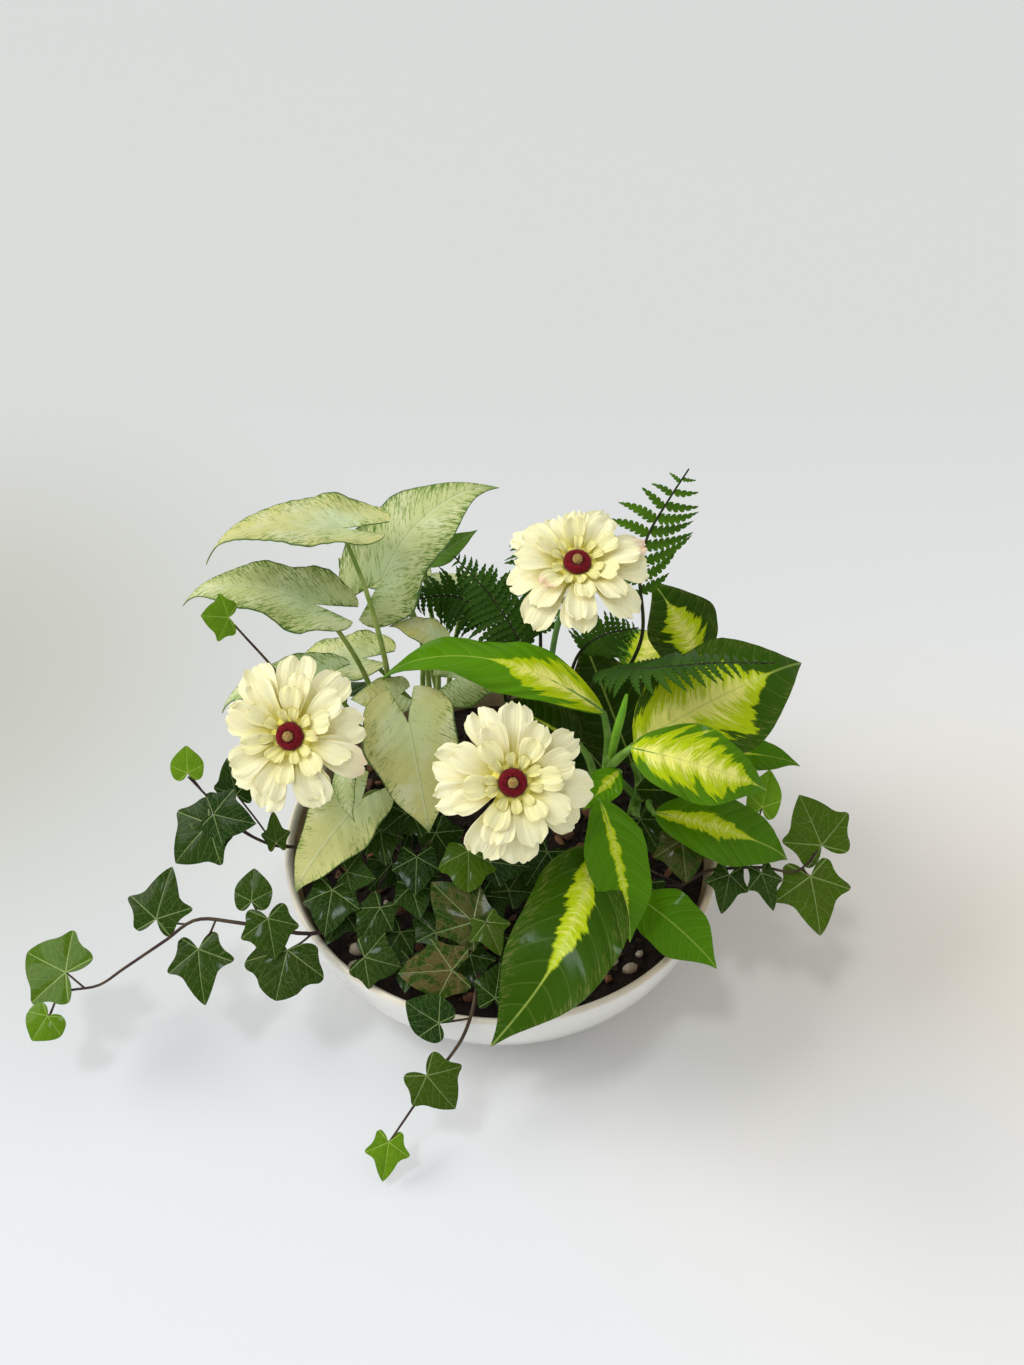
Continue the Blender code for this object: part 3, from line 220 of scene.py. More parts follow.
def ivy_material():
    net = Net("ivy_leaf", 0.42, 0.13, 0.12, 0.02)
    x, y, edge = net.attribute("leaf")
    olive, lime, bronze = net.attribute("tone")
    seed, under, _ = net.attribute("seed")
    side = net.math("ABSOLUTE", y)
    offs, alongs = [], []
    for degrees in IVY_RAYS:
        a = math.radians(degrees)
        offs.append(net.math("ABSOLUTE", net.math("SUBTRACT", net.math("MULTIPLY", x, math.sin(a)),
                                                  net.math("MULTIPLY", side, math.cos(a)))))
        alongs.append(net.math("ADD", net.math("MULTIPLY", x, math.cos(a)), net.math("MULTIPLY", side, math.sin(a))))
    main, twigs = 0.0, 0.0
    for i, (off, along) in enumerate(zip(offs, alongs)):
        thin = net.math("SUBTRACT", 0.013, net.math("MULTIPLY", along, 0.009))
        line = net.math("MULTIPLY", net.step(off, net.math("ADD", thin, 0.008), net.math("MULTIPLY", thin, 0.4)),
                        net.step(along, -0.01, 0.02))
        main = net.math("MAXIMUM", main, line)
        nearest = net.math("LESS_THAN", off, net.math("MINIMUM", offs[i - 1], offs[i - 2]))
        wave = net.math("COSINE", net.math("MULTIPLY", net.math("SUBTRACT", along, net.math("MULTIPLY", off, 1.1)), 2 * math.pi * 4.5))
        twig = net.math("MULTIPLY", net.step(wave, 0.975, 0.999), net.math("MULTIPLY", nearest, net.step(along, 0.02, 0.10)))
        twigs = net.math("MAXIMUM", twigs, twig)
    fine = net.step(net.cracks(net.vector(x, y, seed), 9.0), 0.030, 0.004)
    patches = net.noise(net.vector(x, y, seed), 4.5, 4.0, 0.6)
    leaf = net.mix(olive, (0.006, 0.024, 0.002), (0.046, 0.090, 0.001))
    leaf = net.mix(lime, leaf, (0.125, 0.27, 0.004))
    leaf = net.mix(net.math("MULTIPLY", net.step(patches, 0.35, 0.70), 0.40), leaf,
                   net.mix(lime, (0.022, 0.064, 0.003), (0.20, 0.36, 0.008)))
    blotch = net.math("MULTIPLY", net.step(net.math("ADD", patches, net.math("MULTIPLY", edge, -0.12)), 0.36, 0.46), bronze)
    leaf = net.mix(blotch, leaf, (0.10, 0.075, 0.022))
    vein = net.mix(lime, (0.24, 0.31, 0.11), (0.45, 0.60, 0.10))
    body = net.mix(net.math("MULTIPLY", fine, 0.24), leaf, vein)
    body = net.mix(net.math("MULTIPLY", twigs, 0.35), body, vein)
    body = net.mix(net.math("MULTIPLY", main, 0.75), body, vein)
    body = net.mix(net.math("MULTIPLY", under, 0.5), body, (0.10, 0.16, 0.05))
    height = net.math("SUBTRACT", net.math("MULTIPLY", patches, 0.3), net.math("MAXIMUM", main, twigs))
    return net.finish(body, height, 0.35, 0.5)


def petal_material():
    net = Net("cream_petal", 0.6, 0.0, 0.3, 0.15)
    x, y, edge = net.attribute("leaf")
    pink, inner, seed = net.attribute("tone")
    pleats = net.noise(net.vector(net.math("MULTIPLY", x, 1.2), net.math("MULTIPLY", y, 14.0), seed), 1.0, 3.0)
    body = net.mix(net.step(x, 0.62, 0.02), (0.99, 0.90, 0.53), (0.92, 0.84, 0.13))
    body = net.mix(net.math("MULTIPLY", inner, 0.60), body, (0.93, 0.82, 0.15))
    # Lighter cream where the pleats rise: partly lengthwise streaks in the petal, partly a painted highlight on the
    # pleat crests.
    body = net.mix(net.math("MULTIPLY", net.step(pleats, 0.40, 0.72), 0.40), body, (1.0, 0.96, 0.70))
    tips = net.math("MULTIPLY", net.step(net.math("ADD", x, net.math("MULTIPLY", pleats, 0.2)), 0.80, 1.10), pink)
    body = net.mix(tips, body, (0.84, 0.44, 0.36))
    net.bsdf.inputs["Subsurface Weight"].default_value = 0.22
    net.bsdf.inputs["Subsurface Radius"].default_value = (1.0, 0.7, 0.3)
    net.bsdf.inputs["Subsurface Scale"].default_value = 0.002
    return net.finish(body, pleats, 0.9, 0.8)


def fern_material():
    net = Net("fern_frond", 0.5, 0.0, 0.3, 0.08)
    x, y, edge = net.attribute("leaf")
    light, _, seed = net.attribute("tone")
    grain = net.noise(net.position(), 160.0, 3.0)
    body = net.mix(light, (0.011, 0.042, 0.003), (0.070, 0.170, 0.005))
    body = net.mix(net.math("MULTIPLY", net.step(grain, 0.35, 0.7), 0.4), body, (0.035, 0.090, 0.010))
    rib = net.step(net.math("ABSOLUTE", y), 0.035, 0.01)
    body = net.mix(net.math("MULTIPLY", rib, 0.35), body, (0.13, 0.20, 0.05))
    return net.finish(body, grain, 0.3, 0.5)


def stem_material(name, base, other, roughness=0.5):
    net = Net(name, roughness, 0.0, 0.3, 0.15)
    mottle = net.noise(net.position(), 90.0, 3.0)
    body = net.mix(net.step(mottle, 0.35, 0.65), base, other)
    return net.finish(body, mottle, 0.3, 0.4)


def flock_material(name, base, other):
    net = Net(name, 0.9, 0.0, 0.3, 0.2)
    grain = net.noise(net.position(), 900.0, 2.0)
    net.bsdf.inputs["Sheen Weight"].default_value = 0.08
    net.bsdf.inputs["Sheen Roughness"].default_value = 0.5
    return net.finish(net.mix(net.step(grain, 0.35, 0.65), base, other), grain, 0.3, 0.8)


def glaze_material():
    net = Net("white_glaze", 0.22, 0.4, 0.08)
    zone = net.attribute("leaf")[0]
    cloud = net.noise(net.position(), 14.0, 3.0)
    glaze_noise = net.noise(net.position(), 60.0, 4.0)
    body = net.mix(net.step(cloud, 0.35, 0.7), (0.86, 0.84, 0.78), (0.82, 0.79, 0.72))
    split = net.tree.nodes.new("ShaderNodeSeparateXYZ")
    net.tree.links.new(net.position(), split.inputs[0])
    # The lip turns browner towards +x, and the inner wall above the soil is coloured brown.
    lip_right_side = net.step(split.outputs[0], 0.02, 0.13)
    lip = net.mix(net.step(glaze_noise, 0.3, 0.7), (0.82, 0.75, 0.62), (0.74, 0.65, 0.50))
    lip = net.mix(lip_right_side, lip, (0.66, 0.52, 0.34))
    wall = net.mix(net.step(glaze_noise, 0.35, 0.65), (0.42, 0.30, 0.17), (0.28, 0.18, 0.09))
    body = net.mix(net.step(zone, 0.25, 0.75), body, lip)
    body = net.mix(net.step(zone, 1.3, 1.9), body, wall)
    return net.finish(body, glaze_noise, 0.15, 0.25, net.math("ADD", 0.20, net.math("MULTIPLY", zone, 0.16)))


def soil_material():
    net = Net("potting_soil", 0.95, 0.0, 0.3, 0.3)
    coarse = net.noise(net.position(), 220.0, 6.0, 0.7)
    fine = net.noise(net.position(), 900.0, 3.0)
    # The soil is near black: partly its own dark colour, partly painted shade from the foliage over it.
    body = net.mix(net.step(coarse, 0.35, 0.65), (0.006, 0.004, 0.003), (0.026, 0.014, 0.008))
    body = net.mix(net.math("MULTIPLY", net.step(fine, 0.62, 0.72), 0.5), body, (0.060, 0.030, 0.016))
    return net.finish(body, coarse, 1.6, 1.0)


def lump_material(name, base, other, dark, roughness=0.8):
    net = Net(name, roughness, 0.0, 0.3, 0.35)
    grain = net.noise(net.position(), 300.0, 5.0, 0.6)
    shade = net.attribute("tone")[0]
    body = net.mix(net.step(grain, 0.35, 0.65), base, other)
    body = net.mix(shade, body, dark)
    return net.finish(body, grain, 0.5, 0.8)


# Geometry

def vec(p):
    return Vector(p) * MM


def curve_points(places, count):
    """Points at even steps along a Catmull-Rom curve through the places given in millimetres."""
    pts = [vec(p) for p in places]
    if len(pts) == 2:
        return [pts[0].lerp(pts[1], i / count) for i in range(count + 1)]
    ends = [2 * pts[0] - pts[1]] + pts + [2 * pts[-1] - pts[-2]]
    out = []
    spans = len(pts) - 1
    for i in range(count + 1):
        s = i / count * spans
        k = min(int(s), spans - 1)
        t = s - k
        a, b, c, d = ends[k:k + 4]
        out.append(0.5 * ((2 * b) + (c - a) * t + (2 * a - 5 * b + 4 * c - d) * t * t
                          + (3 * b - 3 * c + d - a) * t ** 3))
    return out


def even_steps(points, count):
    """The same line with its points at equal distances."""
    far = [0.0]
    for a, b in zip(points, points[1:]):
        far.append(far[-1] + (b - a).length)
    out, k = [], 0
    for i in range(count + 1):
        d = far[-1] * i / count
        while k < len(points) - 2 and far[k + 1] < d:
            k += 1
        out.append(points[k].lerp(points[k + 1], (d - far[k]) / max(far[k + 1] - far[k], 1e-9)))
    return out


def smooth_line(points, count):
    """Plain pairs at even steps along a Catmull-Rom curve through pairs."""
    line = curve_points([(x / MM, y / MM, 0.0) for x, y in points], count)
    return [(p.x, p.y) for p in line]


def leaf_frame(joint, tip, normal):
    x = (tip - joint).normalized()
    z = Vector(normal)
    z = (z - z.dot(x) * x).normalized()
    y = z.cross(x)
    turn = Matrix((x, y, z)).transposed().to_4x4()
    turn.translation = joint
    return turn


class Piece:
    """Collects the faces of one piece, with the leaf place, tone and seed that its materials read."""

    def __init__(self):
        self.verts, self.faces, self.slots = [], [], []
        self.leaf, self.tone, self.seed, self.under = [], [], [], []

    def add(self, verts, faces, slot, leaf=None, tone=(0.0, 0.0, 0.0), seed=0.0):
        base = len(self.verts)
        self.verts += verts
        self.faces += [tuple(base + i for i in f) for f in faces]
        self.slots += [slot] * len(faces)
        self.leaf += leaf or [(0.0, 0.0, 0.0)] * len(verts)
        self.tone += [tone] * len(verts)
        self.seed += [seed] * len(verts)
        self.under += [0.0] * len(verts)

    def sheet(self, verts, faces, thickness, slot, leaf, tone, seed=0.0):
        """Adds an open sheet as a closed skin of that thickness in millimetres."""
        normals = [Vector() for _ in verts]
        border = {}
        for f in faces:
            n = (verts[f[1]] - verts[f[0]]).cross(verts[f[-1]] - verts[f[0]])
            for i in f:
                normals[i] += n
            for a, b in zip(f, f[1:] + f[:1]):
                if (b, a) in border:
                    del border[(b, a)]
                else:
                    border[(a, b)] = True
        half = thickness * MM / 2
        normals = [n.normalized() * half for n in normals]
        count = len(verts)
        skin = [v + n for v, n in zip(verts, normals)] + [v - n for v, n in zip(verts, normals)]
        under = [tuple(i + count for i in reversed(f)) for f in faces]
        rim = [(b, a, a + count, b + count) for a, b in border]
        self.add(skin, list(faces) + under + rim, slot, leaf + leaf, tone, seed)
        self.under[-count:] = [1.0] * count

    def tube(self, points, radii, sides, slot, tone=(0.0, 0.0, 0.0)):
        """A closed tube with flat end caps and a radius in millimetres at each point."""
        verts, faces = [], []
        side = None
        for i, (p, r) in enumerate(zip(points, radii)):
            ahead = (points[min(i + 1, len(points) - 1)] - points[max(i - 1, 0)]).normalized()
            if side is None:
                side = ahead.orthogonal().normalized()
            side = (side - side.dot(ahead) * ahead).normalized()
            other = ahead.cross(side)
            for k in range(sides):
                a = 2 * math.pi * k / sides
                verts.append(p + (side * math.cos(a) + other * math.sin(a)) * r * MM)
        for i in range(len(points) - 1):
            for k in range(sides):
                n = (k + 1) % sides
                a, b = i * sides, (i + 1) * sides
                faces.append((a + k, a + n, b + n, b + k))
        faces.append(tuple(reversed(range(sides))))
        last = (len(points) - 1) * sides
        faces.append(tuple(range(last, last + sides)))
        self.add(verts, faces, slot, None, tone)

    def make(self, name, mats, slot_name, *nodes, smooth=True):
        mesh = bpy.data.meshes.new(name)
        mesh.from_pydata(self.verts, [], self.faces)
        mesh.update()
        for key, values in (("leaf", self.leaf), ("tone", self.tone)):
            layer = mesh.attributes.new(key, "FLOAT_VECTOR", "POINT")
            layer.data.foreach_set("vector", [c for v in values for c in v])
        layer = mesh.attributes.new("seed", "FLOAT_VECTOR", "POINT")
        layer.data.foreach_set("vector", [c for v, u in zip(self.seed, self.under) for c in (v, u, 0.0)])
        for mat in mats:
            mesh.materials.append(mat)
        mesh.polygons.foreach_set("material_index", self.slots)
        if smooth:
            mesh.shade_smooth()
            mesh.set_sharp_from_angle(angle=math.radians(50.0))
        ob = bpy.data.objects.new(name, mesh)
        bpy.context.scene.collection.objects.link(ob)
        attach(ob, "root")
        if nodes:
            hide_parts(*nodes)
        return ob


def rooted(foot, places, count):
    """A stem's route: up from its hole in the soil through the given places."""
    x, y = foot
    return [vec((x, y, 46.0))] + curve_points([(x, y, 70.0)] + list(places), count)


# Leaf outlines as fractions of the length from the joint to the tip.
# A long leaf is (x, half width) pairs, with the length and width of its lobes behind the joint.

LONG = {
    "arrow": (((0.0, 0.42), (0.10, 0.425), (0.24, 0.39), (0.40, 0.345), (0.55, 0.28), (0.70, 0.185), (0.82, 0.10),
               (0.92, 0.040), (1.0, 0.0)), 0.31, 0.11, 0.26),
    "arrow_young": (((0.0, 0.27), (0.15, 0.285), (0.30, 0.275), (0.50, 0.225), (0.68, 0.15), (0.84, 0.065), (1.0, 0.0)),
                    0.21, 0.10, 0.14),
    "ovate": (((0.0, 0.012), (0.03, 0.10), (0.08, 0.18), (0.16, 0.26), (0.26, 0.325), (0.38, 0.355), (0.50, 0.345),
               (0.62, 0.30), (0.74, 0.22), (0.84, 0.13), (0.92, 0.055), (1.0, 0.0)), 0.0, 0.0, 0.0),
    "small": (((0.0, 0.012), (0.06, 0.13), (0.16, 0.245), (0.30, 0.31), (0.46, 0.32), (0.60, 0.285), (0.76, 0.18),
               (0.90, 0.065), (1.0, 0.0)), 0.0, 0.0, 0.0),
}

# An ivy leaf is half its outline, from the notch at the joint round to the tip.

IVY = {
    "five": ((0.0, 0.0), (-0.10, 0.06), (-0.22, 0.17), (-0.30, 0.32), (-0.295, 0.45), (-0.18, 0.53), (-0.02, 0.55),
             (0.12, 0.61), (0.24, 0.70), (0.325, 0.735), (0.385, 0.69), (0.43, 0.58), (0.51, 0.475), (0.65, 0.38),
             (0.80, 0.25), (0.92, 0.11), (1.0, 0.0)),
    "block": ((0.0, 0.0), (-0.08, 0.08), (-0.18, 0.24), (-0.22, 0.42), (-0.16, 0.56), (-0.03, 0.60), (0.12, 0.66),
              (0.28, 0.76), (0.42, 0.79), (0.52, 0.72), (0.56, 0.58), (0.66, 0.46), (0.80, 0.38), (0.93, 0.20),
              (0.985, 0.06), (1.0, 0.0)),
    "arrow": ((0.0, 0.0), (-0.09, 0.07), (-0.20, 0.17), (-0.27, 0.31), (-0.21, 0.44), (-0.06, 0.47), (0.08, 0.54),
              (0.20, 0.67), (0.28, 0.73), (0.34, 0.68), (0.38, 0.53), (0.46, 0.39), (0.60, 0.31), (0.78, 0.20),
              (0.93, 0.08), (1.0, 0.0)),
    "young": ((0.0, 0.0), (-0.12, 0.07), (-0.25, 0.21), (-0.27, 0.38), (-0.15, 0.54), (0.08, 0.61), (0.30, 0.62),
              (0.48, 0.56), (0.66, 0.42), (0.84, 0.22), (0.96, 0.07), (1.0, 0.0)),
}
IVY_RAYS = (0.0, 65.0, 124.0)
IVY_HEART = 0.04

ROWS = 34
COLUMNS = 8
BLADE_THICKNESS = 0.55


def long_blade(piece, outline, joint, tip, normal, width, arch, fold, wave, phase, bend, tone, seed, slot=0):
    """A blade with lobes behind its joint or none, arched, folded and waved as its solid is, with a finer edge."""
    pairs, lobe, gap, lobe_width = LONG[outline]
    joint, tip = vec(joint), vec(tip)
    length = (tip - joint).length
    place = leaf_frame(joint, tip, normal)
    rng = random.Random(seed)
    phases = [rng.uniform(0, 2 * math.pi) for _ in range(6)]
    edge_line = smooth_line(pairs, 120)
    widest = max(h for _, h in pairs) * width

    def half_at(x):
        for (x0, h0), (x1, h1) in zip(edge_line, edge_line[1:]):
            if x <= x1:
                return h0 + (h1 - h0) * (x - x0) / max(x1 - x0, 1e-9)
        return 0.0

    rows = []
    hook = 0.085 if lobe else 0.05
    if lobe:
        for i in range(9):
            t = math.cos(math.pi / 2 * i / 9)
            inner = gap * t ** 1.2
            rows.append((-lobe * t, inner, gap * t ** 0.6 + (pairs[0][1] - gap * t ** 0.6) * math.sqrt(1 - t * t)))
    start = len(rows)
    for i in range(ROWS + 1):
        x = (i / ROWS) ** (1.0 if lobe else 1.25)
        rows.append((x, 0.0, max(half_at(x), 0.0)))
    verts, leaf, index, faces = [], [], {}, []

    def vertex(x, y, edge):
        key = (round(x, 5), round(y, 5))
        if key not in index:
            yy = y * width
            side = abs(yy) / widest
            # the same bows and waves as the solid's, then the finer ones
            ripple = wave * side * side * math.sin(phase + 9.0 * x + (1.3 if y > 0 else 0.0))
            ripple += 0.022 * side ** 3 * math.sin(15.0 * x + phases[0] + (2.0 if y > 0 else 0.0))
            ripple += 0.004 * side * math.sin(2 * math.pi * 8 * (x - 0.65 * abs(y)))
            ripple += 0.010 * math.sin(5.0 * x + phases[1]) * side
            rise = arch * 4.0 * x * (1.0 - x) if x > 0 else arch * 2.0 * x
            z = rise + fold * abs(yy) + ripple - hook * max(0.0, (x - 0.78) / 0.22) ** 2
            bow = bend * 4.0 * x * (1.0 - x) if x > 0 else 0.0
            index[key] = len(verts)
            verts.append(place @ Vector((x * length, (yy + bow) * length, z * length)))
            leaf.append((x, y, edge))
        return index[key]

    for sign in (1, -1):
        grid = []
        for i, (x, inner, outer) in enumerate(rows):
            scallop = 1.0 + 0.05 * math.sin(13.0 * x + phases[2 + (sign > 0)]) * (outer > 0.03)
            row = []
            for k in range(COLUMNS + 1):
                t = k / COLUMNS
                edge = t
                if x < 0:
                    blend = min(1.0, -x / 0.12)
                    edge = t * (1 - blend) + abs(2 * t - 1) * blend
                row.append(vertex(x, sign * (inner + (outer * scallop - inner) * t), edge))
            grid.append(row)
        for near, far in zip(grid, grid[1:]):
            for k in range(COLUMNS):
                corners = [near[k], far[k], far[k + 1], near[k + 1]]
                if sign < 0:
                    corners.reverse()
                ring = [c for j, c in enumerate(corners) if c != corners[j - 1]]
                if len(ring) > 2:
                    faces.append(tuple(ring))
    piece.sheet(verts, faces, BLADE_THICKNESS, slot, leaf, tone, seed % 97)
    return place, length


def petiole(piece, places, tip, normal, arch, bend, radius, slot=1, reach=0.86):
    """A round leaf stalk that runs on under the blade as its tapering midrib."""
    points = curve_points(places, 14)
    joint, tip = points[-1], vec(tip)
    length = (tip - joint).length
    place = leaf_frame(joint, tip, normal)
    radii = [radius * (1.25 - 0.5 * i / 14) for i in range(15)]
    points.pop()
    radii.pop()
    for i in range(13):
        x = reach * i / 12
        r = radius * (0.72 * (1 - x / reach) ** 0.8 + 0.12)
        along = 4.0 * x * (1.0 - x) * length
        points.append(place @ Vector((x * length, bend * along, arch * along - (r * 0.75 + 0.1) * MM)))
        radii.append(r)
    piece.tube(points, radii, 8, slot)


def ivy_leaf(piece, outline, route, start, joint, tip, normal, width, tone, seed, cup=0.10):
    start, joint, tip = vec(start), vec(joint), vec(tip)
    start = min((p for p in route), key=lambda p: (p - start).length)
    length = (tip - joint).length
    place = leaf_frame(joint, tip, normal)
    rng = random.Random(seed)
    line = smooth_line(IVY[outline], 30)
    half = line[1:-1]
    lean = [1.0 + rng.uniform(-0.06, 0.06), 1.0 + rng.uniform(-0.06, 0.06)]
    ring = [(x, y * lean[0]) for x, y in half] + [(1.0, 0.0)] + [(x, -y * lean[1]) for x, y in reversed(half)]
    ring = [(0.0, 0.0)] + ring
    tips = [(math.cos(math.radians(a)), math.sin(math.radians(a))) for a in IVY_RAYS]
    wobble = [rng.uniform(0, 6.28) for _ in range(3)]
    bow = rng.uniform(-0.05, 0.06)

    def spot(x, y):
        yy = y * width
        z = cup * (1.0 - 1.6 * ((x - 0.3) ** 2 + yy * yy)) - cup * 0.856
        off = min(abs(x * s - abs(y) * c) if x * c + abs(y) * s > 0 else math.hypot(x, y) for c, s in tips)
        far = math.hypot(x - 0.1, yy)
        z += 0.030 * (1 - math.exp(-off / 0.07)) * min(1.0, far * 2.0)
        z += 0.020 * far * math.sin(4.0 * math.atan2(yy, x - 0.1) + wobble[0]) + bow * (x - 0.3) * far
        return place @ Vector((x * length, yy * length, z * length))

    levels = (0.10, 0.22, 0.36, 0.52, 0.68, 0.84, 1.0)
    verts, leaf = [spot(IVY_HEART, 0.0)], [(IVY_HEART, 0.0, 0.0)]
    for f in levels:
        for x, y in ring:
            px, py = IVY_HEART + (x - IVY_HEART) * f, y * f
            verts.append(spot(px, py))
            leaf.append((px, py, f))
    count = len(ring)
    faces = [(0, 1 + (j + 1) % count, 1 + j) for j in range(count)]
    for level in range(len(levels) - 1):
        a, b = 1 + level * count, 1 + (level + 1) * count
        faces += [(a + j, a + (j + 1) % count, b + (j + 1) % count, b + j) for j in range(count)]
    piece.sheet(verts, faces, 0.45, 0, leaf, tone, seed % 89)
    knee = (start + joint) / 2 - place.col[2].to_3d() * 0.10 * (joint - start).length - Vector((0, 0, 0.0008))
    end = place @ Vector((0.05 * length, 0, -0.0006))
    stalk = curve_points([tuple(p / MM) for p in (start, knee, place @ Vector((0, 0, -0.0006)), end)], 10)
    piece.tube(stalk, [0.62] * 6 + [0.55, 0.5, 0.45, 0.4, 0.3], 6, 1)


# Where each leaf is: outline, stalk route, tip, normal, width, arch, fold, wave, phase, sideways
# bend, then the tone that its material reads.

SYNGONIUM = {
    "left": ((-64, 34), 3.4, ((-65, 34, 84), (-66, 35, 96)), 1.5, (
        ("arrow", ((-66, 34, 88), (-63, 25, 175), (-70, 28, 234), (-84, 47, 268)), (-160, 48, 250),
         (0.10, 0.22, 0.97), 0.95, 0.12, 0.10, 0.02, 0.5, 0.0, (0.85, 0.40)),
        ("arrow", ((-66, 34, 84), (-74, 33, 160), (-88, 33, 205), (-102, 35, 226)), (-176, 45, 222),
         (0.0, 0.0, 1.0), 0.78, 0.14, 0.05, 0.02, 2.0, 0.0, (0.45, 0.55)),
        ("arrow_young", ((-66, 34, 80), (-84, 28, 140), (-94, 26, 170), (-98, 25, 183)), (-160, 18, 164),
         (0.0, 0.0, 1.0), 0.85, 0.12, 0.05, 0.02, 1.0, 0.0, (0.10, 0.50)))),
    "top": ((-42, 42), 3.4, ((-42, 42, 84), (-42, 43, 96)), 1.5, (
        ("arrow", ((-42, 42, 90), (-44, 54, 165), (-54, 64, 200), (-66, 64, 220)), (-3, 102, 258),
         (-0.25, -0.45, 0.86), 0.84, 0.10, 0.06, 0.03, 0.0, 0.09, (0.40, 0.60)),
        ("small", ((-42, 42, 86), (-38, 64, 150), (-43, 84, 190), (-45, 91, 207)), (-14, 99, 227),
         (-0.3, -0.8, 0.5), 0.56, 0.08, 0.30, 0.0, 0.0, 0.0, (0.60, 1.00)),
        ("arrow_young", ((-42, 42, 84), (-46, 46, 140), (-44, 42, 178), (-35, 38, 198)), (-62, 42, 205),
         (0.1, -0.2, 0.97), 1.2, 0.10, 0.10, 0.0, 0.0, 0.0, (0.95, 0.15)))),
    "front": ((-52, 14), 3.4, ((-53, 13, 84), (-54, 12, 96)), 1.4, (
        ("arrow", ((-54, 12, 90), (-50, 6, 130), (-50, -4, 165), (-50, -11, 180)), (-39, -47, 130),
         (0.1, -0.80, 0.60), 0.98, 0.10, 0.08, 0.02, 0.0, 0.0, (0.85, 0.12)),
        ("arrow", ((-53, 12, 84), (-40, 18, 130), (-30, 26, 162), (-25, 30, 175)), (18, 31, 186),
         (0.0, -0.55, 0.83), 0.95, 0.10, 0.05, 0.02, 1.0, 0.0, (0.35, 0.75)),
        ("arrow_young", ((-54, 12, 84), (-64, -2, 112), (-73, -16, 130), (-78, -24, 133)), (-117, -58, 92),
         (-0.15, -0.62, 0.77), 1.02, 0.14, 0.02, 0.02, 0.5, 0.0, (0.75, 0.14)),
        ("arrow_young", ((-54, 12, 90), (-64, 4, 124), (-76, -10, 148), (-86, -22, 154)), (-80, -46, 140),
         (-0.3, -0.6, 0.75), 0.85, 0.12, 0.02, 0.0, 0.0, 0.0, (0.20, 0.55)),
        ("arrow_young", ((-54, 12, 94), (-56, 10, 140), (-57, 10, 168), (-56, 12, 180)), (-84, 12, 176),
         (0.0, -0.7, 0.7), 1.3, 0.08, 0.05, 0.0, 0.0, 0.0, (0.85, 0.35)))),
    "back": ((-36, 70), 3.4, ((-36, 71, 84), (-36, 72, 96)), 1.5, (
        ("arrow", ((-36, 72, 90), (-44, 80, 140), (-56, 94, 178), (-64, 104, 190)), (-104, 144, 168),
         (-0.2, 0.4, 0.9), 0.92, 0.12, 0.06, 0.02, 0.0, 0.0, (0.50, 0.50)),
        ("arrow", ((-36, 72, 86), (-32, 84, 130), (-26, 98, 160), (-24, 108, 168)), (-34, 162, 140),
         (0.0, 0.5, 0.86), 0.92, 0.12, 0.06, 0.02, 1.0, 0.0, (0.35, 0.60)),
        ("arrow", ((-36, 72, 82), (-56, 76, 110), (-76, 80, 136), (-86, 82, 142)), (-140, 96, 112),
         (-0.4, 0.2, 0.9), 0.92, 0.12, 0.06, 0.02, 2.0, 0.0, (0.70, 0.45)))),
}
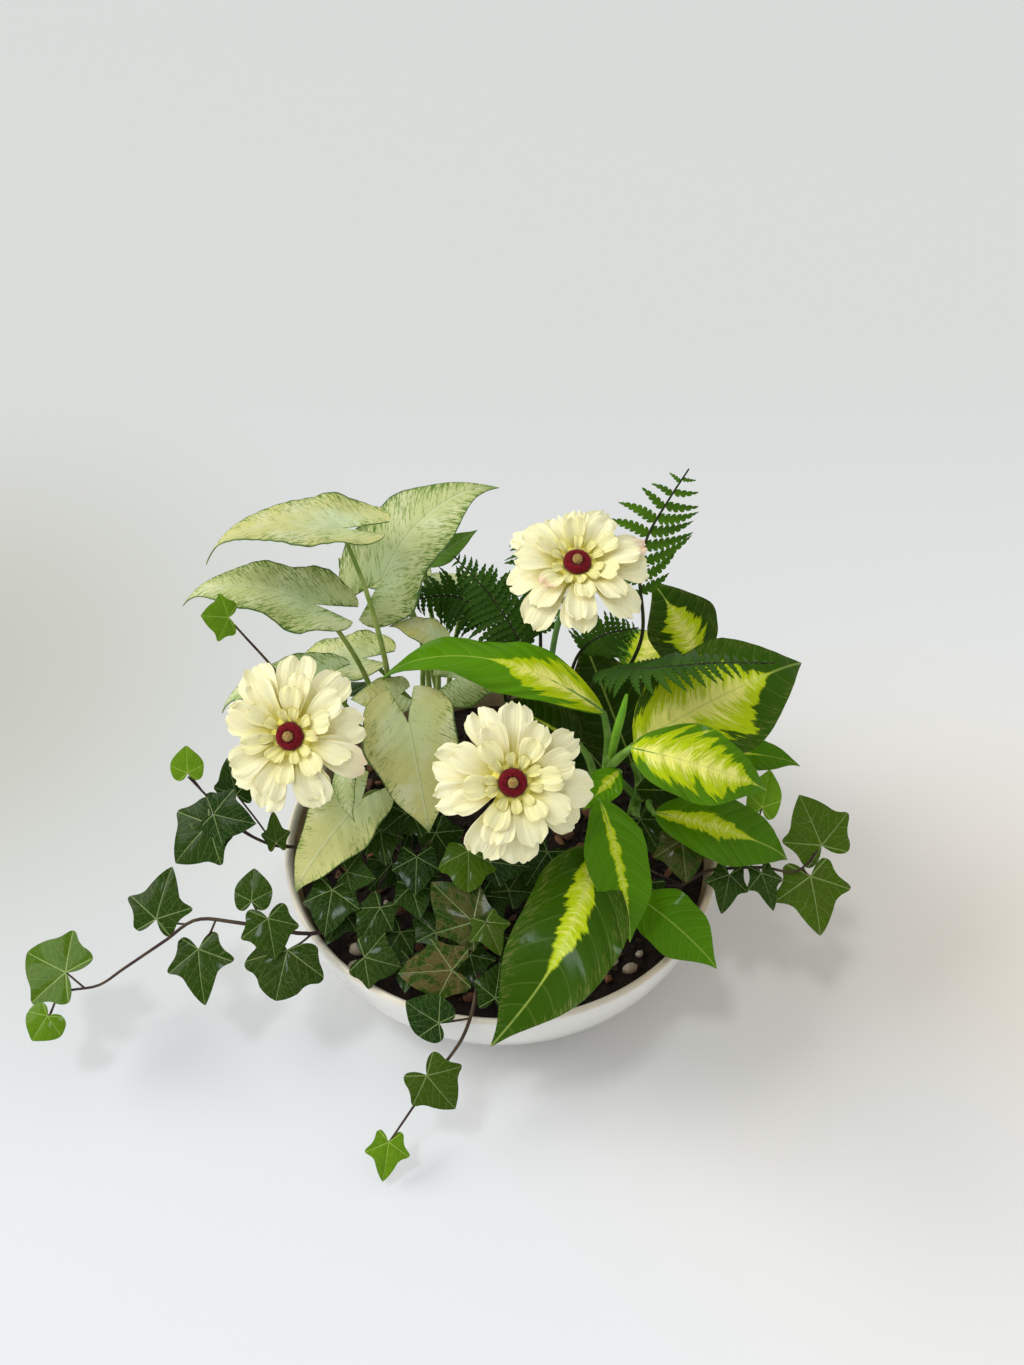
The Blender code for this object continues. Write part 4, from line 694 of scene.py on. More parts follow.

# Tone: how far out the yellow heart reaches, how dark the green is, and where along the leaf it ends. The leaves with
# little or no yellow and the darkest green fill the shade behind the others: their near-black green is partly the
# leaf's colour, partly painted shade.

DIEFFENBACHIA = {
    "tall": ((55, -6), 5.0, ((55, -8, 100), (57, -14, 135), (60, -22, 166)), 2.2, (
        ("ovate", ((58, -18, 150), (58, -15, 172), (55, -12, 190)), (-68, 17, 190),
         (0.05, -0.20, 0.97), 0.36, 0.25, 0.06, 0.045, 0.5, 0.0, (0.85, 0.15, 0.42)),
        ("ovate", ((58, -18, 150), (63, -26, 168), (71, -27, 181)), (168, 26, 193),
         (-0.15, -0.55, 0.82), 0.80, 0.12, 0.05, 0.02, 0.0, 0.0, (0.76, 0.80, 0.70)),
        ("ovate", ((58, -18, 148), (62, -31, 174), (68, -37, 189)), (142, -46, 166),
         (0.15, -0.60, 0.79), 0.72, 0.14, 0.05, 0.02, 0.0, 0.0, (0.70, 0.30, 0.86)),
        ("ovate", ((56, -12, 128), (54, -28, 148), (53, -44, 156)), (70, -97, 100),
         (0.10, -0.55, 0.82), 0.60, 0.16, 0.10, 0.02, 0.0, 0.0, (0.15, 0.28, 0.78)),
        ("ovate", ((55, -10, 110), (53, -34, 128), (50, -58, 134)), (-6, -149, 84),
         (-0.05, -0.30, 0.95), 0.68, 0.14, 0.04, 0.02, 1.0, 0.11, (0.27, 0.85, 0.60)),
        ("small", ((58, -18, 146), (62, -26, 156), (64, -30, 164)), (44, -46, 150),
         (-0.2, -0.7, 0.7), 0.95, 0.10, 0.05, 0.0, 0.0, 0.0, (0.30, 0.0, 0.6)),
        ("ovate", ((55, -10, 120), (50, -4, 142), (44, 0, 152)), (0, 27, 160),
         (-0.1, -0.55, 0.83), 0.9, 0.10, 0.05, 0.02, 0.0, 0.0, (0.06, 1.0, 0.6)))),
    "low": ((80, 14), 4.6, ((80, 13, 84), (82, 12, 104)), 2.0, (
        ("ovate", ((82, 13, 100), (102, 38, 120), (118, 60, 146), (118, 68, 152)), (88, 90, 197),
         (0.15, -0.75, 0.64), 1.05, 0.12, 0.05, 0.02, 0.0, 0.0, (0.48, 0.90, 0.72)),
        ("ovate", ((82, 12, 92), (84, -10, 118), (82, -30, 134), (84, -38, 138)), (163, -43, 104),
         (0.15, -0.45, 0.88), 0.62, 0.14, 0.05, 0.02, 0.0, 0.0, (0.30, 0.42, 0.62)),
        ("small", ((82, 12, 98), (80, 0, 118), (76, -14, 130)), (118, -20, 134),
         (0.1, -0.6, 0.8), 0.8, 0.08, 0.05, 0.0, 0.0, 0.0, (0.0, 1.0, 0.6)),
        ("ovate", ((82, 12, 92), (100, 16, 114), (118, 17, 127)), (174, 11, 124),
         (0.1, -0.3, 0.95), 0.55, 0.10, 0.05, 0.0, 0.0, 0.0, (0.10, 0.30, 0.6)),
        ("ovate", ((80, 13, 84), (80, -20, 96), (78, -52, 96), (76, -62, 94)), (118, -99, 80),
         (0.1, -0.45, 0.88), 0.85, 0.14, 0.05, 0.0, 0.0, 0.0, (0.0, 0.25, 0.6)),
        ("small", ((82, 13, 96), (80, 12, 112), (76, 14, 122)), (47, 58, 180),
         (0.0, -0.8, 0.6), 1.0, 0.10, 0.05, 0.0, 0.0, 0.0, (0.0, 1.0, 0.6)),
        ("small", ((82, 13, 90), (70, 16, 104), (60, 18, 112)), (14, 52, 160),
         (0.0, -0.8, 0.6), 1.0, 0.10, 0.05, 0.0, 0.0, 0.0, (0.0, 1.0, 0.6)),
        ("small", ((82, 13, 96), (83, 16, 116), (84, 18, 124)), (72, 46, 170),
         (0.0, -0.8, 0.6), 1.0, 0.10, 0.05, 0.0, 0.0, 0.0, (0.0, 0.9, 0.6)),
        ("ovate", ((82, 14, 98), (88, 34, 124), (98, 56, 138)), (156, 104, 108),
         (0.3, 0.3, 0.9), 0.7, 0.16, 0.06, 0.02, 0.0, 0.0, (0.55, 0.65, 0.75)),
        ("ovate", ((82, 14, 92), (82, 48, 120), (84, 70, 130)), (104, 146, 104),
         (0.0, 0.35, 0.93), 0.7, 0.16, 0.06, 0.02, 1.0, 0.0, (0.65, 0.45, 0.80)))),
}

ROLLED_LEAF = ((59.5, -20, 157), (60, -23, 172), (61.5, -25, 190), (63.5, -25, 204), (65, -24, 215))

# Fern fronds: foot, route of the rachis, where the leafy part starts, pairs, longest pinna,
# normal, lightness and how wide a pinna is for its spacing.

FERN = {
    "upright": ((54, 64), ((60, 64, 110), (80, 56, 178), (77, 60, 224), (80, 67, 246), (90, 69, 270), (99, 69, 290)),
                0.46, 9, 30.0, (-0.1, -0.85, 0.5), 1.0, 0.34),
    "right": ((42, 52), ((46, 44, 130), (56, 16, 192), (78, -9, 219), (112, -13, 227), (142, -11, 225)),
              0.42, 20, 27.0, (0.0, 0.25, 0.97), 0.35, 0.60),
    "left_upper": ((18, 58), ((17, 46, 130), (12, 36, 190), (-4, 48, 217), (-26, 66, 234)),
                   0.50, 17, 25.0, (0.1, -0.6, 0.8), 0.30, 0.62),
    "left": ((4, 66), ((2, 62, 130), (-5, 64, 184), (-26, 69, 202), (-59, 69, 198)),
             0.52, 16, 24.0, (0.0, -0.5, 0.85), 0.28, 0.62),
    "middle": ((34, 64), ((38, 56, 130), (43, 42, 180), (56, 38, 200), (76, 38, 206)),
               0.58, 13, 20.0, (0.0, -0.6, 0.8), 0.40, 0.60),
    "back": ((24, 88), ((24, 96, 120), (23, 122, 170), (21, 154, 180), (20, 184, 160)),
             0.36, 17, 25.0, (0.0, 0.1, 1.0), 0.50, 0.55),
}

# Ivy: foot, route, then outline, stalk start, joint, tip, normal, width and tone. The tone is how
# olive, how lime and how bronze the leaf is.

IVY_STEMS = {
    "left_trail": ((-78, -52), ((-84, -60, 80), (-103, -80, 85), (-145, -75, 88), (-169, -73, 88), (-186, -83, 82),
                                (-208, -94, 72), (-222, -101, 66), (-242, -103, 62), (-248, -112, 56)), (
        ("block", (-106, -80, 85), (-116, -93, 88), (-121, -117, 76), (0.0, -0.45, 0.9), 1.0, (0.35, 0.0, 0.10)),
        ("five", (-118, -79, 86), (-127, -80, 99), (-122, -99, 88), (0.1, -0.5, 0.86), 1.0, (0.50, 0.0, 0.0)),
        ("young", (-128, -77, 87), (-137, -70, 101), (-137, -54, 110), (-0.2, -0.6, 0.77), 0.95, (0.45, 0.0, 0.0)),
        ("arrow", (-158, -73, 88), (-168, -84, 76), (-163, -111, 62), (-0.2, -0.4, 0.9), 0.85, (0.42, 0.0, 0.0)),
        ("arrow", (-176, -76, 86), (-192, -71, 86), (-186, -45, 100), (-0.2, -0.55, 0.8), 0.9, (0.38, 0.0, 0.0)),
        ("five", (-230, -102, 65), (-241, -94, 68), (-270, -76, 62), (-0.1, -0.4, 0.9), 0.85, (0.6, 0.30, 0.0)),
        ("young", (-247, -111, 57), (-249, -114, 56), (-257, -125, 49), (-0.1, -0.4, 0.9), 1.3, (0.8, 0.60, 0.0)))),
    "upper_left_trail": ((-92, -28), ((-98, -28, 82), (-116, -25, 91), (-133, -26, 96), (-151, -22, 106),
                                      (-164, -14, 118), (-178, -6, 132)), (
        ("five", (-148, -23, 104), (-166, -24, 112), (-187, -38, 94), (-0.3, -0.5, 0.8), 0.95, (0.25, 0.0, 0.0)),
        ("five", (-140, -25, 100), (-163, -22, 118), (-138, -34, 124), (0.1, -0.7, 0.7), 0.75, (0.05, 0.0, 0.0)),
        ("young", (-170, -10, 125), (-178, -5, 134), (-179, 6, 145), (-0.1, -0.7, 0.7), 1.0, (0.6, 0.80, 0.0)),
        ("five", (-130, -26, 95), (-154, -2, 112), (-160, 14, 126), (0.0, -0.7, 0.7), 0.7, (0.15, 0.0, 0.0)),
        ("arrow", (-118, -25, 92), (-129, -28, 100), (-131, -16, 114), (0.0, -0.8, 0.6), 0.6, (0.45, 0.1, 0.0)))),
    "upright": ((-108, -2), ((-109, 0, 110), (-113, 6, 165), (-118, 2, 202), (-139, 10, 232)), (
        ("five", (-139, 10, 232), (-142, 11, 237), (-155, 7, 242), (-0.3, -0.6, 0.74), 1.15, (0.6, 0.85, 0.0)),)),
    "front_trail": ((-12, -92), ((-12, -100, 78), (-13, -116, 85), (-15, -128, 83), (-20, -138, 74), (-28, -144, 62),
                                 (-38, -150, 48), (-47, -158, 37), (-59, -170, 24)), (
        ("young", (-16, -130, 81), (-32, -138, 88), (-50, -128, 92), (-0.1, -0.7, 0.7), 0.95, (0.05, 0.0, 0.0)),
        ("five", (-34, -148, 54), (-39, -151, 58), (-24, -163, 44), (0.0, -0.7, 0.7), 0.95, (0.75, 0.05, 0.1)),
        ("arrow", (-58, -169, 25), (-60, -171, 24), (-63, -187, 10), (0.1, -0.8, 0.6), 0.8, (0.6, 0.85, 0.0)),
        ("five", (-12, -108, 82), (-3, -122, 86), (0, -101, 90), (0.1, -0.6, 0.8), 0.8, (0.15, 0.0, 0.0)))),
    "right_trail": ((98, -44), ((104, -44, 82), (116, -44, 94), (130, -47, 101), (147, -49, 104), (163, -52, 104),
                                (174, -46, 107)), (
        ("five", (172, -47, 106), (180, -38, 110), (168, -18, 130), (0.0, -0.7, 0.7), 0.9, (1.0, 0.16, 0.10)),
        ("arrow", (168, -49, 105), (173, -52, 100), (178, -78, 80), (0.1, -0.6, 0.8), 0.95, (1.0, 0.14, 0.15)),
        ("arrow", (122, -45, 98), (127, -54, 104), (122, -72, 92), (0.0, -0.6, 0.8), 0.75, (0.35, 0.0, 0.0)),
        ("arrow", (144, -49, 104), (144, -56, 108), (150, -74, 98), (0.1, -0.5, 0.85), 0.7, (0.30, 0.0, 0.0)),
        ("young", (136, -48, 102), (147, -22, 124), (152, -6, 138), (0.0, -0.6, 0.8), 0.75, (0.9, 1.0, 0.0)),
        ("five", (110, -44, 90), (101, -38, 115), (103, -58, 102), (-0.1, -0.6, 0.8), 0.9, (0.60, 0.0, 0.55)))),
    "clump_left": ((-66, -66), ((-68, -68, 80), (-74, -68, 90), (-86, -64, 96)), (
        ("five", (-84, -65, 95), (-94, -60, 98), (-97, -84, 88), (-0.1, -0.5, 0.86), 0.85, (0.15, 0.0, 0.0)),
        ("five", (-80, -66, 93), (-86, -52, 104), (-70, -60, 108), (0.0, -0.7, 0.7), 0.85, (0.30, 0.0, 0.0)),
        ("five", (-74, -68, 89), (-67, -69, 94), (-78, -87, 86), (0.0, -0.5, 0.86), 0.75, (0.20, 0.0, 0.0)),
        ("five", (-68, -68, 80), (-74, -97, 87), (-54, -101, 84), (0.0, -0.5, 0.86), 1.0, (0.25, 0.0, 0.05)))),
    "clump_middle": ((-52, -44), ((-53, -44, 85), (-56, -40, 104), (-58, -34, 118)), (
        ("five", (-57, -38, 110), (-68, -32, 116), (-64, -52, 110), (0.0, -0.6, 0.8), 0.75, (0.25, 0.0, 0.0)),
        ("five", (-55, -42, 98), (-47, -48, 112), (-47, -68, 104), (0.0, -0.6, 0.8), 0.85, (0.0, 0.0, 0.0)),
        ("five", (-54, -44, 90), (-50, -58, 99), (-44, -78, 96), (0.0, -0.5, 0.86), 0.8, (0.10, 0.0, 0.0)),
        ("five", (-58, -35, 116), (-54, -26, 124), (-66, -38, 122), (-0.1, -0.7, 0.7), 1.0, (0.05, 0.0, 0.0)),
        ("five", (-57, -36, 114), (-50, -26, 124), (-44, -40, 120), (0.1, -0.7, 0.7), 0.9, (0.10, 0.0, 0.0)))),
    "clump_right": ((-18, -64), ((-18, -64, 84), (-17, -60, 100), (-14, -56, 110)), (
        ("block", (-15, -57, 108), (-18, -50, 120), (-18, -72, 112), (0.0, -0.6, 0.8), 0.85, (0.75, 0.15, 0.0)),
        ("five", (-14, -56, 110), (-6, -56, 118), (16, -58, 116), (0.1, -0.7, 0.7), 0.8, (0.0, 0.0, 0.0)),
        ("five", (-18, -62, 94), (-15, -84, 101), (-39, -61, 107), (0.0, -0.6, 0.8), 0.72, (0.35, 0.0, 0.55)),
        ("arrow", (-18, -64, 88), (-8, -86, 104), (0, -102, 96), (0.1, -0.6, 0.8), 0.85, (0.65, 0.10, 0.15)))),
    "clump_front": ((-34, -88), ((-34, -89, 80), (-32, -92, 86), (-28, -97, 90)), (
        ("five", (-28, -97, 90), (-26, -107, 90), (-56, -106, 85), (-0.05, -0.6, 0.8), 0.74, (0.40, 0.0, 0.95)),
        ("five", (-34, -90, 82), (-50, -94, 80), (-52, -112, 76), (-0.1, -0.5, 0.86), 0.7, (0.10, 0.0, 0.0)),
        ("five", (-33, -91, 84), (-36, -80, 86), (-50, -66, 84), (0.0, -0.5, 0.86), 0.75, (0.10, 0.0, 0.0)))),
    "back_trail": ((2, 96), ((3, 104, 78), (8, 122, 86), (14, 136, 82), (20, 146, 70), (30, 154, 52)), (
        ("five", (10, 128, 85), (16, 130, 94), (36, 142, 90), (0.1, 0.5, 0.86), 0.85, (0.35, 0.0, 0.0)),
        ("block", (16, 139, 80), (6, 146, 84), (-8, 166, 74), (-0.1, 0.6, 0.8), 0.85, (0.25, 0.0, 0.0)),
        ("arrow", (22, 148, 66), (28, 150, 68), (44, 162, 52), (0.1, 0.7, 0.7), 0.8, (0.45, 0.0, 0.0)),
        ("young", (29, 153, 53), (30, 154, 52), (32, 168, 34), (0.0, 0.8, 0.6), 1.0, (0.6, 0.80, 0.0)),
        ("five", (4, 110, 82), (0, 116, 92), (-20, 124, 90), (-0.1, 0.4, 0.9), 0.8, (0.20, 0.0, 0.0)))),
    "back_left": ((-76, 62), ((-80, 64, 80), (-92, 74, 88), (-106, 86, 88), (-118, 94, 80)), (
        ("five", (-96, 77, 88), (-98, 66, 98), (-120, 58, 96), (-0.3, 0.1, 0.95), 0.85, (0.35, 0.0, 0.0)),
        ("block", (-104, 84, 88), (-100, 96, 96), (-108, 118, 88), (-0.2, 0.4, 0.9), 0.85, (0.20, 0.0, 0.0)),
        ("arrow", (-117, 93, 81), (-120, 96, 80), (-138, 108, 64), (-0.4, 0.4, 0.8), 0.85, (0.45, 0.0, 0.0)))),
}

# Small dark leaves under the others: outline, stalk start, joint, tip, width and tone.

UNDERGROWTH = {
    "clump_left": (
        ("five", (-76, -67, 91), (-63, -35, 90), (-76, -50, 84), 0.85, (0.10, 0.0, 0.0)),
        ("five", (-70, -68, 84), (-56, -77, 82), (-66, -96, 78), 0.80, (0.15, 0.0, 0.0)),
        ("arrow", (-84, -65, 95), (-88, -66, 86), (-97, -84, 80), 0.80, (0.25, 0.0, 0.0))),
    "clump_middle": (
        ("five", (-54, -43, 92), (-50, -2, 96), (-58, -24, 88), 0.85, (0.05, 0.0, 0.0)),
        ("five", (-55, -42, 96), (-38, -19, 98), (-25, -37, 90), 0.85, (0.15, 0.0, 0.0)),
        ("five", (-53, -44, 86), (-50, -42, 86), (-40, -60, 82), 0.85, (0.05, 0.0, 0.0)),
        ("arrow", (-56, -40, 104), (-70, -14, 104), (-78, -34, 96), 0.80, (0.05, 0.0, 0.0))),
    "clump_right": (
        ("five", (-18, -62, 92), (-11, -58, 90), (-2, -78, 82), 0.85, (0.10, 0.0, 0.0)),
        ("five", (-18, -63, 88), (4, -56, 92), (16, -38, 98), 0.80, (0.30, 0.0, 0.0)),
        ("five", (-16, -58, 104), (26, -38, 104), (14, -57, 98), 0.85, (0.10, 0.0, 0.0)),
        ("five", (-16, -59, 100), (-18, -30, 100), (-8, -48, 94), 0.85, (0.05, 0.0, 0.0)),
        ("five", (-18, -63, 86), (8, -84, 84), (16, -104, 78), 0.80, (0.15, 0.0, 0.0))),
    "clump_front": (
        ("five", (-33, -91, 84), (-27, -74, 84), (-38, -92, 78), 0.85, (0.10, 0.0, 0.1)),
        ("arrow", (-30, -95, 88), (-17, -92, 82), (-11, -112, 76), 0.80, (0.15, 0.0, 0.0))),
    "right_trail": (
        ("five", (104, -44, 84), (81, -9, 98), (92, -29, 90), 0.85, (0.30, 0.0, 0.0)),
        ("five", (104, -44, 84), (98, -18, 94), (112, -36, 88), 0.80, (0.15, 0.0, 0.0)),
        ("five", (104, -44, 82), (72, -24, 86), (58, -42, 80), 0.85, (0.10, 0.0, 0.2)),
        ("arrow", (104, -44, 82), (84, -46, 86), (72, -66, 80), 0.80, (0.20, 0.0, 0.0))),
}

# Flowers: foot, stem route, centre, the way it faces, turn and size.

FLOWERS = {
    "top": ((24, 36), ((25, 36, 120), (30, 38, 200)), (40, 32, 252), (0.0, -0.32, 0.95), 3.0, 0.93),
    "left": ((-90, 4), ((-91, 3, 110), (-101, -6, 160)), (-106, -38, 199), (-0.18, -0.70, 0.69), 1.0, 0.98),
    "centre": ((8, -18), ((8, -18, 110), (7, -34, 155)), (6, -62, 190), (0.05, -0.68, 0.73), 0.0, 0.98),
}


# Leafy stems

SYNGONIUM_LEAF = syngonium_material()
DIEFFENBACHIA_LEAF = dieffenbachia_material()
IVY_LEAF = ivy_material()
FERN_LEAF = fern_material()
PETAL = petal_material()
PALE_STEM = stem_material("pale_green_stem", (0.20, 0.30, 0.05), (0.33, 0.40, 0.10))
GREEN_STEM = stem_material("green_stem", (0.12, 0.26, 0.03), (0.22, 0.38, 0.07))
NEW_LEAF = stem_material("rolled_leaf", (0.14, 0.36, 0.02), (0.24, 0.46, 0.04), 0.35)
IVY_STEM = stem_material("ivy_stem", (0.045, 0.022, 0.022), (0.085, 0.060, 0.030), 0.55)
FERN_STEM = stem_material("fern_stem", (0.016, 0.020, 0.006), (0.034, 0.050, 0.010), 0.6)
WIRE_STEM = stem_material("flower_stem", (0.10, 0.22, 0.05), (0.16, 0.30, 0.08), 0.5)


def leafy_stem(kind, key, spec, mats, slot_name, seed):
    foot, radius, cane, stalk_radius, leaves = spec
    piece = Piece()
    route = rooted(foot, cane, 8)
    piece.tube(route, [radius * (1.0 - 0.4 * i / (len(route) - 1)) for i in range(len(route))], 12, 1)
    for i, row in enumerate(leaves):
        outline, places, tip, normal, width, arch, fold, wave, phase, bend, tone = row
        number = seed + 17 * i
        petiole(piece, places, tip, normal, arch, bend, stalk_radius)
        full = tone if len(tone) == 3 else (*tone, float(number % 41))
        long_blade(piece, outline, places[-1], tip, normal, width, arch, fold, wave, phase, bend, full, number)
    if key == "tall":
        spindle = curve_points(ROLLED_LEAF, 16)
        piece.tube(spindle, [1.7 + 1.1 * math.sin(math.pi * i / 20) - 0.0058 * i * i for i in range(17)], 10, 2)
    piece.make(kind + "_" + key + "_leaves", mats, slot_name, kind + "_" + key)


for n, (key, spec) in enumerate(SYNGONIUM.items()):
    leafy_stem("syngonium", key, spec, [SYNGONIUM_LEAF, PALE_STEM], "syngonium_leaf", 100 + 211 * n)
for n, (key, spec) in enumerate(DIEFFENBACHIA.items()):
    leafy_stem("dieffenbachia", key, spec, [DIEFFENBACHIA_LEAF, GREEN_STEM, NEW_LEAF], "dieffenbachia_leaf", 1300 + 307 * n)


def ivy(key, spec, seed):
    foot, places, leaves = spec
    piece = Piece()
    route = rooted(foot, places, 44)
    piece.tube(route, [1.35 - 0.75 * i / (len(route) - 1) for i in range(len(route))], 7, 1)
    for i, (outline, start, joint, tip, normal, width, tone) in enumerate(leaves):
        ivy_leaf(piece, outline, route, start, joint, tip, normal, width, tone, seed + 13 * i)
    for i, (outline, start, joint, tip, width, tone) in enumerate(UNDERGROWTH.get(key, ())):
        ivy_leaf(piece, outline, route, start, joint, tip, (0.0, -0.6, 0.8), width, tone, seed + 7 + 13 * i)
    piece.make("ivy_" + key + "_leaves", [IVY_LEAF, IVY_STEM], "ivy_leaf", "ivy_" + key)


for n, (key, spec) in enumerate(IVY_STEMS.items()):
    ivy(key, spec, 2100 + 101 * n)


def pinna(piece, root, out, along, face, length, broad, tone, seed):
    """One leaflet of a frond, with round teeth that lean towards its tip, which curves up the frond."""
    teeth = max(4, round(length / MM / 3.2))
    hook = 0.26 + 0.12 * math.sin(seed * 9.0)
    shape = ((0.0, 0.50), (0.30, 0.98), (0.62, 1.10), (0.90, 0.96))
    verts, leaf, faces = [], [], []
    rows = [((i + f) / teeth, w) for i in range(teeth) for f, w in shape] + [(1.0, 0.15)]
    for s, saw in rows:
        taper = min(1.0, 0.85 + 2.0 * s) * (1.0 - max(0.0, (s - 0.25) / 0.75) ** 1.5 * 0.88)
        half = broad * taper * (saw if s < 0.93 else 0.6)
        spot = root + out * length * s + along * length * hook * s * s - face * length * (0.20 * s * s)
        crease = face * half * 0.22
        lean = out * half * 0.35
        verts += [spot - along * half + crease + lean, spot, spot + along * half + crease + lean]
        leaf += [(s, -1.0, 1.0), (s, 0.0, 0.0), (s, 1.0, 1.0)]
    for i in range(len(rows) - 1):
        a, b = 3 * i, 3 * i + 3
        faces += [(a, b, b + 1, a + 1), (a + 1, b + 1, b + 2, a + 2)]
    piece.sheet(verts, faces, 0.35, 0, leaf, tone, seed)


def frond(key, spec, seed):
    foot, places, leafy, pairs, longest, normal, light, dense = spec
    rng = random.Random(seed)
    piece = Piece()
    steps = 60
    route = rooted(foot, places, steps)
    body = route[1:]
    piece.tube(route, [1.5 - 1.05 * i / (len(route) - 1) for i in range(len(route))], 7, 1)
    top = even_steps(body[int(leafy * steps):], steps)
    count = len(top) - 1
    up = Vector(normal)
    spacing = sum((b - a).length for a, b in zip(top, top[1:])) / pairs
    for i in range(pairs):
        s = i / pairs
        k = min(int(s * count), count - 1)
        spot = top[k].lerp(top[k + 1], s * count - k)
        along = (top[k + 1] - top[k]).normalized()
        side = along.cross(up).normalized()
        face = side.cross(along).normalized()
        shape = (0.62 + 1.5 * s) if s < 0.25 else max(0.10, 1.0 - (s - 0.25) ** 1.15 / 0.80)
        for sign in (1, -1):
            length = longest * shape * rng.uniform(0.94, 1.06) * MM
            out = (side * sign + along * (0.30 + rng.uniform(-0.05, 0.05))).normalized()
            turned = (face + along * rng.uniform(0.05, 0.45)).normalized()
            flank = out.cross(turned).normalized() * -sign
            pinna(piece, spot + along * spacing * 0.25 * (sign > 0), out, flank * sign, turned, length,
                  min(spacing * dense, length * 0.16), (light * rng.uniform(0.8, 1.2), 0.0, 0.0), rng.uniform(0, 9))
    piece.make("fern_" + key + "_frond", [FERN_LEAF, FERN_STEM], "fern_frond", "fern_" + key)


for n, (key, spec) in enumerate(FERN.items()):
    frond(key, spec, 3300 + n)


# Flowers. Each layer is its count, length, width, lift, root radius, root height, turn and how
# yellow it is.

LAYERS = (
    (9, 36.0, 0.53, 3.0, 6.0, 1.2, 0.0, 0.0),
    (8, 28.5, 0.56, 16.0, 7.2, 2.8, 21.0, 0.10),
    (6, 19.0, 0.62, 32.0, 8.8, 4.2, 8.0, 0.50),
    (10, 10.0, 0.55, 38.0, 7.1, 6.0, 28.0, 1.00),
)
PETAL_WIDTH = ((0.0, 0.20), (0.18, 0.22), (0.40, 0.34), (0.62, 0.47), (0.80, 0.52), (0.91, 0.49), (0.97, 0.40), (1.0, 0.30))


def bloom_frame(centre, facing, turn):
    z = Vector(facing).normalized()
    x = (Vector((1, 0, 0)) - z.x * z).normalized()
    y = z.cross(x)
    place = Matrix((x, y, z)).transposed().to_4x4()
    place.translation = vec(centre)
    return place @ Matrix.Rotation(math.radians(turn * 10.0), 4, "Z")


def petal(piece, place, length, width, lift, radius, root, yellow, rng):
    """A cupped petal with pleats along it and a toothed, uneven end."""
    rise, reach = math.sin(math.radians(lift)), math.cos(math.radians(lift))
    rows, columns = 14, 12
    rough = rng.choice((0.3, 0.5, 1.0))
    teeth = [rng.uniform(-0.055, 0.02) * rough for _ in range(columns + 1)]
    notch = rng.uniform(0.02, 0.12)
    for k, depth in ((-1, 0.5), (0, 1.0), (1, 0.5)):
        teeth[columns // 2 + k] -= notch * depth
    pleat = rng.uniform(0, 6.28)
    cup = rng.uniform(0.06, 0.16)
    curl = rng.uniform(-0.06, 0.10)
    twist = rng.uniform(-0.10, 0.10)
    verts, leaf, faces = [], [], []
    for i in range(rows + 1):
        s = i / rows
        half = width * next(h0 + (h1 - h0) * (s - s0) / (s1 - s0)
                            for (s0, h0), (s1, h1) in zip(PETAL_WIDTH, PETAL_WIDTH[1:]) if s <= s1)
        for k in range(columns + 1):
            t = 2.0 * k / columns - 1.0
            along = s * (1.0 - 0.05 * t * t * s) + teeth[k] * max(0.0, (s - 0.75) / 0.25)
            across = half * t
            arch = 0.09 * math.sin(math.pi * 0.9 * s) - 0.12 * s * s + curl * s ** 3
            z = arch + cup * t * t * math.sin(math.pi * s) * 0.7
            z += 0.026 * math.sin(5.2 * t + pleat) * s + 0.013 * math.sin(11.0 * t + 4.0 * s + pleat) * s
            z += twist * t * s * s
            spot = Vector((radius + along * length * reach - z * length * rise,
                           across * length, root + along * length * rise + z * length * reach))
            verts.append(place @ (spot * MM))
            leaf.append((s, t * 0.5, abs(t)))
    for i in range(rows):
        for k in range(columns):
            a, b = i * (columns + 1) + k, (i + 1) * (columns + 1) + k
            faces.append((a, b, b + 1, a + 1))
    pink = rng.uniform(0.3, 0.8) if rng.random() < 0.07 else 0.0
    piece.sheet(verts, faces, 0.4, 0, leaf, (pink, yellow, rng.uniform(0, 50)))


def lathe(piece, place, profile, segments, slot, tone=(0.0, 0.0, 0.0), lump=0.0, zones=None):
    """A turned skin: the profile runs from the axis back to the axis."""
    verts, faces, leaf = [], [], []
    for j, (r, z) in enumerate(profile):
        for k in range(segments):
            a = 2 * math.pi * k / segments
            p = Vector((r * math.cos(a), r * math.sin(a), z))
            if lump:
                p += p.normalized() * lump * noise.noise(p * 0.9)
            verts.append(place @ (p * MM))
            leaf.append((zones[j] if zones else 0.0, 0.0, 0.0))
    for i in range(len(profile) - 1):
        for k in range(segments):
            n = (k + 1) % segments
            a, b = i * segments, (i + 1) * segments
            faces.append((a + k, a + n, b + n, b + k))
    faces.append(tuple(reversed(range(segments))))
    last = (len(profile) - 1) * segments
    faces.append(tuple(range(last, last + segments)))
    piece.add(verts, faces, slot, leaf, tone)


def bristles(piece, place, count, radius, height, low, length, thick, rng):
    """Short fibres that stand up from a dome."""
    for _ in range(count):
        r = radius * math.sqrt(rng.random())
        a = rng.uniform(0, 2 * math.pi)
        dome = low + height * math.sqrt(max(0.0, 1.0 - (r / radius) ** 2))
        base = Vector((r * math.cos(a), r * math.sin(a), dome - 0.3))
        lean = Vector((math.cos(a), math.sin(a), 0.0)) * (r / radius) * 0.9 + Vector((0, 0, 1.0))
        tip = base + (lean + Vector((rng.uniform(-0.3, 0.3), rng.uniform(-0.3, 0.3), 0))).normalized() * length * rng.uniform(0.6, 1.0)
        side = (tip - base).orthogonal().normalized() * thick
        other = (tip - base).normalized().cross(side)
        ring = [base + side, base - side * 0.5 + other * 0.87, base - side * 0.5 - other * 0.87, tip]
        piece.add([place @ (p * MM) for p in ring], [(2, 1, 0), (0, 1, 3), (1, 2, 3), (2, 0, 3)], 0)


RED = flock_material("red_flock", (0.10, 0.001, 0.004), (0.20, 0.003, 0.009))
TAN = flock_material("tan_flock", (0.30, 0.17, 0.045), (0.46, 0.30, 0.10))

